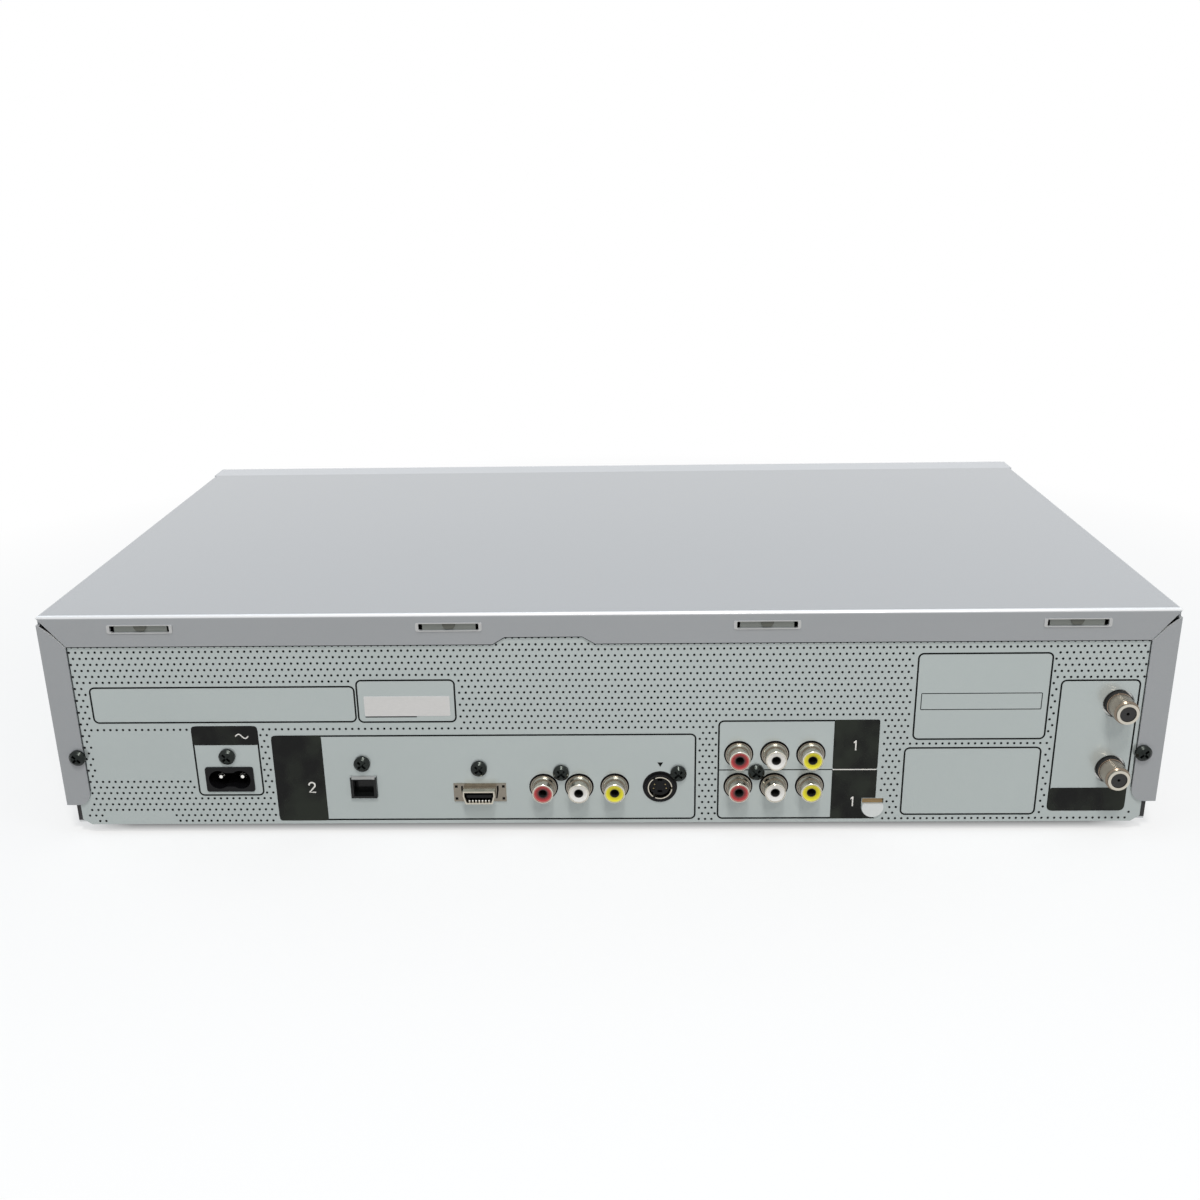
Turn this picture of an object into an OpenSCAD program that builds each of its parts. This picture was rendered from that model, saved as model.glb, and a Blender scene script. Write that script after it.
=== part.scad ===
// Disc and cassette combination player, +Z up, front towards -Y, origin under the middle of the case.

/* [Case] */
// Width over the cover's two sides
body_w = 430; // [426:1:440]
// Height from the rear panel's lower edge to the top of the cover
body_h = 89.5; // [89.5:0.5:96]
// Depth of the cover, from its seam with the front panel to its rear face
cover_d = 220.5; // [218:0.5:240]
// Height of the cover's sides
cover_side_h = 80.3; // [77:0.1:83]
// Thickness of the cover's sheet
cover_t = 0.8; // [0.6:0.1:1]
// Outer radius of the cover's bends
cover_bend_r = 1.6; // [1.2:0.1:2.4]
// Height of the flange folded down over the rear panel
top_flange_h = 12.6; // [11:0.1:14]
// Width of the flanges folded in over the rear panel's sides
side_flange_w = 9.9; // [8:0.1:10.5]
// Thickness of the rear panel and the bottom plate
panel_t = 0.8; // [0.6:0.1:1]
// Gap between sheets and mouldings that lie on each other
seat_gap = 0.1; // [0.05:0.05:0.2]
// Height of the feet below the rear panel's lower edge
foot_h = 4.5; // [3:0.5:8]
// Radius of a foot
foot_r = 13; // [10:0.5:16]

/* [Front panel] */
// Depth of the front panel, from its seam to its face
front_d = 22.5; // [22:0.5:26]
// Wall of the moulded front panel
front_wall = 2.4; // [2:0.1:2.8]
// Radius of the front panel's upper edge
front_edge_r = 9; // [5:0.5:10]
// Setback of the lower half of the face
lower_setback = 1.6; // [0.8:0.1:2]
// Height of the edge between the two halves of the face, above the case's lower edge
split_h = 42; // [40:0.5:43]
// Width of the display window
window_w = 140; // [100:1:142]
// Height of the display window
window_h = 24; // [18:0.5:26]
// Width of the jack door
door_w = 76; // [70:1:80]
// Height of the jack door
door_h = 26; // [24:0.5:28]
// Gap round every key
key_gap = 0.25; // [0.15:0.05:0.4]
// Travel of a key
key_travel = 0.8; // [0.5:0.1:1]

/* [Cassette deck] */
// Middle of the deck, from the case's side
deck_inset = 110; // [109:0.5:112]
// Room behind a loaded cassette, for the drum and the jacks
deck_back = 96.3; // [96:0.1:98]
// Thickness of the deck plate
deck_t = 1.5; // [1.2:0.1:2]
// Height of the deck plate's top above the case's lower edge
deck_h = 19; // [18:0.5:20]
// Width of a cassette
tape_w = 188; // [186:0.5:188.5]
// Depth of a cassette
tape_l = 104; // [103:0.5:104.5]
// Thickness of a cassette
tape_t = 25; // [24:0.5:25.5]
// Way of the holder into the case
holder_in = 55; // [50:1:57]
// Way of the holder down to the reels
holder_down = 20; // [18:0.5:20.5]
// Distance between the two reels
reel_pitch = 91.5; // [88:0.5:94]
// Radius of the head drum
drum_r = 31; // [28:0.5:31.5]
// Lean of the head drum
drum_lean = 6; // [3:0.5:7]
// Radius of the pinch roller
pinch_r = 7; // [6:0.5:8]
// Turn that brings the pinch roller to the capstan
pinch_turn = 20; // [15:1:24]
// Teeth of the cam gear
cam_teeth = 48; // [40:1:50]

/* [Disc loader] */
// Middle of the loader, from the case's side
loader_inset = 99; // [97:0.5:101]
// Width of the disc tray
tray_w = 130; // [128:0.5:132]
// Way of the disc tray out of the case
tray_out = 135; // [125:1:140]
// Length of the tray that stays in the case when it is open
tray_hold = 43; // [40:1:48]
// Height of the tray's underside above the case's lower edge
tray_h = 59.5; // [59:0.5:60]
// Radius of the tray's recess for a large disc
disc_r = 60.75; // [60.25:0.25:61]
// Module of the drive gear's pinion and of the rack
rack_module = 1; // [0.9:0.05:1.05]
// Teeth of the pinion that drives the rack
pinion_teeth = 18; // [17:1:19]
// Module of the drive gear's large wheel
wheel_module = 0.8; // [0.7:0.05:0.8]
// Teeth of the drive gear's large wheel
wheel_teeth = 42; // [38:1:42]
// Teeth of the motor's pinion
motor_teeth = 14; // [14:1:16]
// Backlash of the gears
backlash = 0.16; // [0.1:0.02:0.3]
// Radius of the turntable
turntable_r = 15; // [13:0.5:16]

/* [Rear jacks] */
// Distance between neighbouring phono jacks
jack_pitch = 14; // [13.5:0.1:15]
// Outer radius of a phono jack's shell
shell_r = 4.05; // [3.9:0.05:4.2]
// Reach of a phono jack in front of the panel
shell_reach = 6.4; // [5:0.1:8]
// Height of the phono jacks above the panel's lower edge
jack_row_h = 16.1; // [15.5:0.1:17]
// Middle of the three phono jacks
trio_x = 10.4; // [9.5:0.1:11.5]
// Middle of the six phono jacks
six_x = -66; // [-68:0.5:-65]
// Middle of the S-video socket
svideo_x = -21.4; // [-22:0.1:-21]
// Middle of the D-shaped video connector
dterm_x = 49.6; // [48:0.2:51]
// Middle of the optical jack
optical_x = 95.5; // [93:0.5:98]
// Middle of the mains inlet
inlet_x = 148.5; // [145:0.5:152]
// Height of the mains inlet above the panel's lower edge
inlet_h = 20; // [19:0.5:22]
// Distance of the antenna connectors from the cover's side
antenna_inset = 19; // [18.5:0.5:20]
// Height of the lower antenna connector above the panel's lower edge
antenna_h = 22.8; // [20:0.2:24]
// Distance between the two antenna connectors
antenna_pitch = 27.7; // [24:0.1:30]
// Radius of an antenna connector's barrel
barrel_r = 4.75; // [4.6:0.05:4.8]
// Reach of the antenna connectors behind the cover
barrel_reach = 9; // [8:0.5:12]

/* [Hidden] */
$fn = 48;
eps = 0.01;
run_gap = 0.05; // radial gap of a pin in its bore
clear = 0.3; // gap between pieces that move past each other

// case
half_w = body_w / 2;
deck_x = -half_w + deck_inset;
loader_x = half_w - loader_inset;
tray_l = tray_out + tray_hold;
top_z = foot_h + body_h;
cover_z = top_z - cover_side_h;
key_proud = 1.2; // reach of a key in front of its face
total_d = key_proud + front_d + cover_d + barrel_reach;
rear_y = total_d / 2 - barrel_reach;
seam_y = rear_y - cover_d;
front_y = seam_y - front_d;
panel_y = rear_y - cover_t - seat_gap; // outer face of the rear panel
inner_y = panel_y - panel_t; // inner face of the rear panel
flange_z = top_z - top_flange_h;
slot_z = flange_z + 7.2;
slot_xs = [-half_w + 38.3, -61.5, 58.2, half_w - 39.5];
slot_w = 22.7;
slot_h = 2.7;
notch_w = 38.9;
notch_x = 22.6;
notch_h = 2.9;
tongue_x = -105.1; // tongue beside the six jacks
tongue_z = foot_h + 8.2;
tongue_r = 4.2;
panel_half = half_w - 5;
frame_half = half_w - 3;
frame_t = 2;
frame_h = 16;
base_z = foot_h + panel_t; // underside of the bottom plate
floor_z = base_z + panel_t; // top of the bottom plate
flange_l = 6; // depth of the rear panel's folded lower edge
bead_h = 0.6;
feet_xs = [-150, 150];
feet_ys = [seam_y + 22, rear_y - 34];
roof_z = top_z - cover_t; // underside of the cover

// front panel
split_z = foot_h + split_h;
lower_y = front_y + lower_setback; // face of the lower half
upper_in = front_y + front_wall;
lower_in = lower_y + front_wall;
front_floor = foot_h + 0.4;
// lower half of the face, from left to right
power_w = 20;
play_w = 34;
stop_w = 22;
record_w = 16;
channel_w = 11;
key_space = 6; // between the keys of the block
block_w = play_w + stop_w + record_w + 2 * key_space;
face_gap = (body_w - power_w - door_w - window_w - block_w - channel_w) / 6;
power_x = -half_w + face_gap + power_w / 2;
door_x = power_x + power_w / 2 + face_gap + door_w / 2;
window_x = door_x + door_w / 2 + face_gap + window_w / 2;
play_x = window_x + window_w / 2 + face_gap + play_w / 2;
stop_x = play_x + (play_w + stop_w) / 2 + key_space;
record_x = stop_x + (stop_w + record_w) / 2 + key_space;
channel_x = record_x + record_w / 2 + face_gap + channel_w / 2;
window_z = foot_h + 21.5;
door_z = foot_h + 20.5;
door_t = 2;
door_pin_r = 1.1;
flap_w = tape_w + 4;
flap_h = 30;
flap_t = 2.2;
flap_z = foot_h + 44.6; // lower edge of the flap
flap_pin_r = 1.1;
flap_axis_y = front_y + 0.6 + flap_t / 2;
flap_axis_z = flap_z + flap_h - 1.7;
board_y = front_y + 14; // front face of the front board
board_t = 1.6;
switch_h = 3.5;
// keys: middle, height above the case's lower edge, width, height, on the lower half of the face
power_key = [power_x, 21.5, power_w, 9, true];
upper_keys_h = (split_h + tray_h - 4) / 2; // the two keys below the tray
eject_key = [loader_x - 45, upper_keys_h, 18, 8, false];
open_key = [loader_x + 45, upper_keys_h, 18, 8, false];
play_key = [play_x, 26, play_w, 9, true];
stop_key = [stop_x, 26, stop_w, 9, true];
record_key = [record_x, 26, record_w, 9, true];
wind_key = [(play_x + record_x) / 2, 12.5, 62, 8, true];
channel_key = [channel_x, 19, channel_w, 27, true];
push_keys = [power_key, eject_key, open_key, play_key, stop_key, record_key];
rockers = [wind_key, channel_key];

// cassette deck
deck_top = foot_h + deck_h;
deck_z = deck_top - deck_t;
bay_z = foot_h + 46; // underside of a cassette in the raised holder
tape_y1 = inner_y - deck_back;
tape_y0 = tape_y1 - tape_l; // label edge of a loaded cassette
holder_y1 = tape_y1 - holder_in; // stop of the holder at rest
holder_y0 = seam_y + 9;
holder_wall = 1;
holder_x = tape_w / 2 + 0.6; // inner side of the holder, from its middle
holder_out = holder_x + holder_wall;
shelf_w = 20;
carriage_x = holder_out + 1.6;
carriage_t = 1;
lift_x = carriage_x + carriage_t + 2;
lift_t = 1.2;
guide_r = 1.5;
guide_z = bay_z + tape_t - 0.5;
lift_top = guide_z + 9;
holder_top = bay_z + tape_t + 0.7 + holder_wall;
reel_y = tape_y0 + 48;
reel_r = 17;
reel_pin_r = 2;
drum_x = deck_x - 3;
drum_y = tape_y1 + 42;
drum_z = deck_top + 4.5;
drum_h = 16;
drum_gap = 0.35;
capstan_x = deck_x + 62;
capstan_y = tape_y1 + 8;
capstan_r = 2;
flywheel_r = 24;
arm_x = deck_x + 80;
arm_y = tape_y1 + 15;
arm_pin_r = 2;
cam_x = deck_x + 77;
cam_y = tape_y1 + 43;
cam_module = 0.8;
cam_pin_r = 3;
antenna_x = -half_w + antenna_inset;
tuner_x0 = -half_w + 12;
tuner_w = 26;
tuner_l = 46;
board_z = floor_z + 2.9; // underside of the main board
circuit_z = board_z + board_t;

// closed place of the pinch roller, seen from the arm's pivot
arm_to_capstan = [capstan_x - arm_x, capstan_y - arm_y];
capstan_side = [arm_to_capstan[1], -arm_to_capstan[0]] / norm(arm_to_capstan);
roller_closed = arm_to_capstan + capstan_side * (capstan_r + pinch_r + 0.3);
arm_l = norm(roller_closed);
roller_angle = atan2(roller_closed[1], roller_closed[0]) - pinch_turn;
roller_x = arm_x + arm_l * cos(roller_angle);
roller_y = arm_y + arm_l * sin(roller_angle);

// disc loader
tray_z = foot_h + tray_h; // underside of the tray
tray_floor = 2;
tray_rim = 4.5;
tray_y0 = front_y + 3.5;
tray_y1 = tray_y0 + tray_l;
disc_y = tray_y0 + 66;
bezel_w = tray_w + 12;
bezel_z0 = tray_z - 4;
bezel_z1 = tray_z + 12;
bezel_t = 3;
loader_half = tray_w / 2 + 10;
loader_y0 = seam_y + 2.5;
loader_y1 = tray_y1 + 7;
loader_z = tray_z - 20;
loader_wall = 2;
loader_top = tray_z + tray_rim + clear + 1.9;
rail_w = 13;
shelf_z = tray_z - 9.7;
shelf_t = 1.3;
shelf_l = 22;
rack_x = loader_x - tray_w / 2 + 14; // pitch line of the rack
rack_z = tray_z - 4.4;
pinion_r = rack_module * pinion_teeth / 2;
wheel_r = wheel_module * wheel_teeth / 2;
motor_r = wheel_module * motor_teeth / 2;
gear_x = rack_x + pinion_r;
gear_y = loader_y0 + 17.2;
gear_pin_r = 2.5;
gear_space = wheel_r + motor_r;
motor_y = gear_y - 6;
motor_x = gear_x + sqrt(gear_space * gear_space - 36);
motor_angle = atan2(motor_y - gear_y, motor_x - gear_x);
motor_can_r = 9;
wheel_z = shelf_z + shelf_t + 0.3;
wheel_t = 3;
teeth_z = tray_z - 4.2; // underside of the pinion's teeth
traverse_z = tray_z - 13;
traverse_t = 2;
traverse_half = 28;
traverse_y0 = disc_y - 20;
traverse_y1 = disc_y + 90;
pivot_y = traverse_y1 - 2;
pivot_z = traverse_z + traverse_t / 2;
pivot_r = 2;
pivot_x = traverse_half + 3;
rod_r = 1.5;
rod_x = 22;
rod_z = traverse_z + 5;
sled_y = disc_y + 26;
sled_l = 22;
bridge_z = loader_top;
bridge_t = 1;
puck_r = 13;

// rear jacks
row_z = foot_h + jack_row_h;
upper_z = row_z + 13.8;
svideo_z = foot_h + 15.9;
dterm_z = foot_h + 13.9;
optical_z = foot_h + 16.5;
inlet_z = foot_h + inlet_h;
antenna_zs = [foot_h + antenna_h, foot_h + antenna_h + antenna_pitch];
collar_r = 5.3;
shell_foot = 2.4; // height of the wider foot of a phono jack's shell
shell_wall = 0.4;
pocket_t = 1.6; // walls of the front jacks' pocket
block_d = 15;
svideo_r = 6.65;
front_jack_y = lower_y + 12; // face of the front jack block
// one entry for each phono jack: x, z, colour
rear_jacks = [
    for (i = [0:2]) [trio_x + (1 - i) * jack_pitch, row_z, i],
    for (z = [row_z, upper_z], i = [0:2]) [six_x + (1 - i) * jack_pitch, z, i]
];
front_jacks = [for (i = [0:2]) [door_x + (1 - i) * jack_pitch, door_z, i]];
cover_screw_x = half_w - 7.6;
cover_screw_z = top_z - 59.2;
panel_screws = [
    [inlet_x, inlet_z + 10.1], [optical_x, optical_z + 10.2], [dterm_x, dterm_z + 10.5],
    [trio_x + jack_pitch / 2, row_z + 6.3], [svideo_x - 7.2, svideo_z + 6],
    [six_x + jack_pitch / 2, row_z + 6.2]
];
screw_r = 1.4;
head_r = 3.2;

// A box between two corners
module block(a, b) {
    translate(a) cube(b - a);
}

// An outline in the XZ plane, extruded from y0 to y1
module along_y(y0, y1) {
    translate([0, y1, 0]) rotate([90, 0, 0]) linear_extrude(y1 - y0) children();
}

// An outline in the YZ plane, extruded from x0 to x1
module along_x(x0, x1) {
    translate([x0, 0, 0]) rotate([90, 0, 90]) linear_extrude(x1 - x0) children();
}

// A round bar along Y
module bar_y(x, z, r, y0, y1) {
    translate([x, y0, z]) rotate([-90, 0, 0]) cylinder(r = r, h = y1 - y0);
}

// A round bar along X
module bar_x(y, z, r, x0, x1) {
    translate([x0, y, z]) rotate([0, 90, 0]) cylinder(r = r, h = x1 - x0);
}

// A round post along Z
module post(x, y, r, z0, z1) {
    translate([x, y, z0]) cylinder(r = r, h = z1 - z0);
}

module rounded(w, h, r) {
    square([w - 2 * r, h], center = true);
    square([w, h - 2 * r], center = true);
    for (x = [-1, 1], y = [-1, 1]) translate([x * (w / 2 - r), y * (h / 2 - r)]) circle(r);
}

// A pattern at both sides of a middle plane
module both_sides(x = 0) {
    for (s = [0, 1]) translate([x, 0, 0]) mirror([s, 0, 0]) children();
}

// --- sheet metal ---

// The cover's outer form; e is the distance in from the outside
module cover_form(e) {
    r = cover_bend_r - e;
    w = half_w - e;
    z1 = top_z - e;
    y1 = rear_y - e;
    y0 = e > 0 ? seam_y - 1 : seam_y;
    z0 = e > 0 ? cover_z - 1 : cover_z;
    intersection() {
        along_y(y0, y1) {
            translate([-w, z0]) square([2 * w, z1 - r - z0]);
            translate([-w + r, z0]) square([2 * (w - r), z1 - z0]);
            for (s = [-1, 1]) translate([s * (w - r), z1 - r]) circle(r);
        }
        along_x(-w - 1, w + 1) {
            translate([y0, z0]) square([y1 - r - y0, z1 - z0]);
            translate([y0, z0]) square([y1 - y0, z1 - r - z0]);
            translate([y1 - r, z1 - r]) circle(r);
        }
    }
}

// The opening that the rear panel is seen through
module rear_window_outline() {
    w = half_w - side_flange_w;
    foot_r2 = 5.5;
    translate([-w, cover_z + foot_r2]) square([2 * w, flange_z - cover_z - foot_r2]);
    translate([-w - foot_r2, cover_z - 1]) square([2 * (w + foot_r2), foot_r2 + 1 + eps]);
    translate([notch_x, flange_z]) polygon([
        [-notch_w / 2, -eps], [-notch_w / 2 + 4.8, notch_h], [notch_w / 2 - 4.8, notch_h], [notch_w / 2, -eps]
    ]);
}

module slot_outline(grow = 0) {
    rounded(slot_w + 3 * grow, slot_h + grow, 0.4 + grow / 2);
}

module top_cover() color([0.74, 0.76, 0.79]) {
    foot_r2 = 5.5;
    difference() {
        union() {
            difference() {
                cover_form(0);
                cover_form(cover_t);
                along_y(rear_y - cover_t - 1, rear_y + 1) difference() {
                    rear_window_outline();
                    for (s = [-1, 1]) translate([s * (half_w - side_flange_w + foot_r2), cover_z + foot_r2])
                        circle(foot_r2);
                }
            }
            // raised rims of the hook slots
            for (x = slot_xs) translate([x, 0, slot_z])
                along_y(rear_y - eps, rear_y + 0.35) slot_outline(0.8);
        }
        for (x = slot_xs) translate([x, 0, slot_z]) along_y(rear_y - 2, rear_y + 1) slot_outline();
        // open mitres between the top flange and the side flanges
        for (s = [-1, 1]) along_y(rear_y - cover_bend_r - 0.3, rear_y + 1) polygon([for (p = [
            [1, top_z - 0.7], [-0.5, top_z - 1.1], [-side_flange_w - 0.2, flange_z + 0.1],
            [-side_flange_w - 0.2, flange_z - 0.6], [-4.5, top_z - 7.2], [1, top_z - 2.9]
        ]) [s * (half_w + p[0]), p[1]]]);
        for (s = [-1, 1])
            bar_y(s * cover_screw_x, cover_screw_z, screw_r + 0.2, rear_y - 2, rear_y + 1);
    }
}

// Cuts an outline through the rear panel, at x and z
module panel_cut(x, z) translate([x, 0, z]) along_y(inner_y - 1, panel_y + 1) children();

module rear_panel() color([0.69, 0.72, 0.71]) {
    corner = 2.4;
    difference() {
        union() {
            along_y(inner_y, panel_y) polygon([
                [-panel_half, foot_h + corner], [-panel_half + 3.4, foot_h], [panel_half - 3.4, foot_h],
                [panel_half, foot_h + corner], [panel_half, roof_z - 0.8], [-panel_half, roof_z - 0.8]
            ]);
            block([-panel_half + 3.4, inner_y - flange_l, foot_h], [panel_half - 3.4, inner_y + eps, base_z]);
            // round dimples on the tongues behind the hook slots
            for (x = slot_xs) intersection() {
                bar_y(x, slot_z + slot_h / 2 - 0.3, 2.5, panel_y - eps, panel_y + 0.5);
                translate([x, 0, slot_z]) along_y(panel_y - 1, panel_y + 1) square([6, slot_h - 0.6], center = true);
            }
            // lanced tongue below the six jacks
            translate([tongue_x, panel_y - eps, tongue_z]) rotate([-90, 0, 0])
                intersection() {
                    translate([0, 1.6, 0]) cylinder(r = tongue_r, h = 0.7);
                    translate([-tongue_r - 1, 0, -1]) cube([2 * tongue_r + 2, tongue_r + 2, 3]);
                }
        }
        // open ends of the hook slots
        for (x = slot_xs, s = [-1, 1]) panel_cut(x + s * (slot_w / 2 - 0.3), slot_z) square([1.9, 4], center = true);
        panel_cut(tongue_x, tongue_z + 1.1) square([2 * tongue_r, 2.2], center = true);
        for (j = rear_jacks) panel_cut(j[0], j[1]) circle(collar_r + 0.15);
        panel_cut(svideo_x, svideo_z) circle(svideo_r + 0.15);
        panel_cut(dterm_x, dterm_z) square([15, 5], center = true);
        panel_cut(optical_x, optical_z) square([10.5, 9.4], center = true);
        panel_cut(inlet_x, inlet_z) rounded(19.2, 10.7, 1);
        for (z = antenna_zs) panel_cut(antenna_x, z) circle(barrel_r + 1.2);
        for (s = panel_screws) panel_cut(s[0], s[1]) circle(screw_r + 0.1);
        for (s = [-1, 1]) panel_cut(s * cover_screw_x, cover_screw_z) circle(screw_r + 0.1);
    }
}

module bottom_plate() color([0.62, 0.63, 0.64]) {
    difference() {
        union() {
            block([-frame_half, seam_y + 0.5, base_z], [frame_half, inner_y - seat_gap, floor_z]);
            // stiffening beads
            for (x = [deck_x + 5, rib_x + 16, loader_x + 16, loader_x + 42])
                translate([x, (seam_y + rear_y) / 2, floor_z - eps])
                    linear_extrude(bead_h) rounded(6, cover_d - 60, 2.9);
        }
        // rows of air slots
        for (x = [deck_x - 80, rib_x + 26], i = [0:11]) translate([x + i * 7, seam_y + 80, base_z - 1])
            linear_extrude(3) rounded(3, 40, 1.4);
        for (x = feet_xs, y = feet_ys) post(x, y, 2, base_z - 1, floor_z + 1);
    }
}

module feet() color([0.09, 0.09, 0.1]) {
    for (x = feet_xs, y = feet_ys) translate([x, y, 0]) rotate_extrude() polygon([
        [0, 2.5], [4, 2.5], [4, 0.6], [foot_r - 3, 0.6], [foot_r - 3, 0], [foot_r - 1.2, 0],
        [foot_r, foot_h - 0.5], [foot_r, base_z], [0, base_z]
    ]);
}

// A pan head screw with a cross recess; its head lies on the face at y
module pan_screw(x, y, z, l) translate([x, y, z]) rotate([-90, 0, 0]) {
    difference() {
        union() {
            cylinder(r = head_r, h = 1.1);
            translate([0, 0, 1.1 - eps]) cylinder(r1 = head_r, r2 = head_r - 1, h = 0.9);
            translate([0, 0, -l]) cylinder(r = screw_r, h = l + eps);
        }
        for (a = [45, 135]) rotate([0, 0, a]) translate([-2, -0.45, 0.8]) cube([4, 0.9, 2]);
    }
}

module rear_screws() color([0.07, 0.07, 0.08]) {
    for (s = panel_screws) pan_screw(s[0], panel_y, s[1], 6);
    for (s = [-1, 1]) pan_screw(s * cover_screw_x, rear_y, cover_screw_z, 7);
}

// --- moulded frame ---

deck_posts = [
    [deck_x - 96, seam_y + 14], [deck_x + 96, seam_y + 14],
    [deck_x - 66, tape_y1 + 66], [deck_x + 96, tape_y1 + 66]
];
loader_posts = [
    for (s = [-1, 1], y = [loader_y0 + 8, loader_y1 - 26]) [loader_x + s * (loader_half - 7), y]
];
power_z = floor_z + 8.4;
power_x0 = 112; // left edge of the power board
deck_half = lift_x + lift_t + 1; // half the deck plate's width
rib_x = (deck_x + deck_half + loader_x - loader_half) / 2;

board_posts = [
    [-frame_half + 22, seam_y + 40], [rib_x - 8, seam_y + 40], [-frame_half + 62, inner_y - 28],
    [96, inner_y - 28], [rib_x - 8, inner_y - 60]
];
power_posts = [
    [120, inner_y - 44], [frame_half - 12, inner_y - 44], [frame_half - 12, inner_y - 8], [inlet_x + 28, inner_y - 8]
];

// A rib above the bottom plate's beads and below the main board
module low_rib(y, x0, x1) {
    block([x0, y - 1, floor_z + bead_h + 0.2], [x1, y + 1, board_z - clear]);
}

module main_frame() color([0.08, 0.08, 0.09]) {
    difference() {
        union() {
            difference() {
                block([-frame_half, seam_y + 0.5, floor_z], [frame_half, inner_y, floor_z + frame_h]);
                block([-frame_half + frame_t, seam_y + 0.5 + frame_t, floor_z - 1],
                    [frame_half - frame_t, inner_y + 1, floor_z + frame_h + 1]);
            }
            // lip between the cover's sides and the bottom plate
            both_sides() block([frame_half - eps, seam_y + 0.5, floor_z], [half_w - 1.2, seam_y + 6, cover_z - 1]);
            // bosses for the cover's rear screws
            both_sides() block([cover_screw_x - 4, inner_y - 9, floor_z], [frame_half, inner_y, cover_screw_z + 4]);
            for (p = deck_posts) {
                post(p[0], p[1], 4, floor_z, deck_z);
                post(p[0], p[1], 7, floor_z, floor_z + 1.5);
            }
            for (p = loader_posts) {
                post(p[0], p[1], 4.5, floor_z, loader_z);
                block([p[0] - 8, p[1] - 1, floor_z], [p[0] + 8, p[1] + 1, floor_z + 12]);
            }
            for (p = board_posts) post(p[0], p[1], 3, floor_z, board_z);
            for (p = power_posts) post(p[0], p[1], 3, floor_z, power_z);
            // rib between the two machines, low ribs to the posts
            block([rib_x - 1, seam_y + 0.5 + frame_t - eps, floor_z], [rib_x + 1, inner_y - 56, deck_z - clear]);
            low_rib(deck_posts[0][1], -frame_half + 1, rib_x);
            low_rib(deck_posts[2][1], -frame_half + 1, board_posts[3][0]);
            for (p = [loader_posts[0], loader_posts[1]]) low_rib(p[1], rib_x, frame_half - 1);
            low_rib(board_posts[0][1], -frame_half + 1, board_posts[0][0]);
            for (p = [board_posts[1], board_posts[4]]) low_rib(p[1], p[0], rib_x);
            for (p = [power_posts[0], power_posts[3]]) low_rib(p[1], p[0], frame_half - 1);
        }
        both_sides() bar_y(cover_screw_x, cover_screw_z, screw_r + 0.1, inner_y - 10, inner_y + 1);
        for (p = deck_posts) post(p[0], p[1], 1.3, deck_z - 8, deck_z + 1);
        for (p = loader_posts) post(p[0], p[1], 1.3, loader_z - 8, loader_z + 1);
    }
}

// --- front panel ---

// Side view of the front panel; e is the distance in from its outer face
function front_profile(e) = let (r = front_edge_r - e, y0 = front_y + e, y1 = lower_y + e, z1 = top_z - e) concat(
    [[seam_y + (e > 0 ? 1 : 0), front_floor + e], [y1 + 2.5, front_floor + e], [y1, front_floor + 2.5 + e]],
    [[y1, split_z - lower_setback], [y0, split_z]],
    [for (a = [0:7.5:90]) [y0 + r - r * cos(a), z1 - r + r * sin(a)]],
    [[seam_y + (e > 0 ? 1 : 0), z1]]
);

// Plan of the front panel with round corners at its ends
module front_plan(e) {
    r = 6 - e;
    w = half_w - e;
    translate([-w, front_y + e + r]) square([2 * w, front_d + 6]);
    translate([-w + r, front_y + e]) square([2 * (w - r), 20]);
    for (s = [-1, 1]) translate([s * (w - r), front_y + e + r]) circle(r);
}

module front_shell(e) intersection() {
    along_x(-half_w + e, half_w - e) polygon(front_profile(e));
    translate([0, 0, -1]) linear_extrude(top_z + 2) front_plan(e);
}

// Openings for a list of keys in the front panel
module key_holes(keys) {
    for (k = keys) translate([k[0], 0, foot_h + k[1]])
        along_y(front_y - 2, front_y + 8) rounded(k[2] + 2 * key_gap, k[3] + 2 * key_gap, 2);
}

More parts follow.
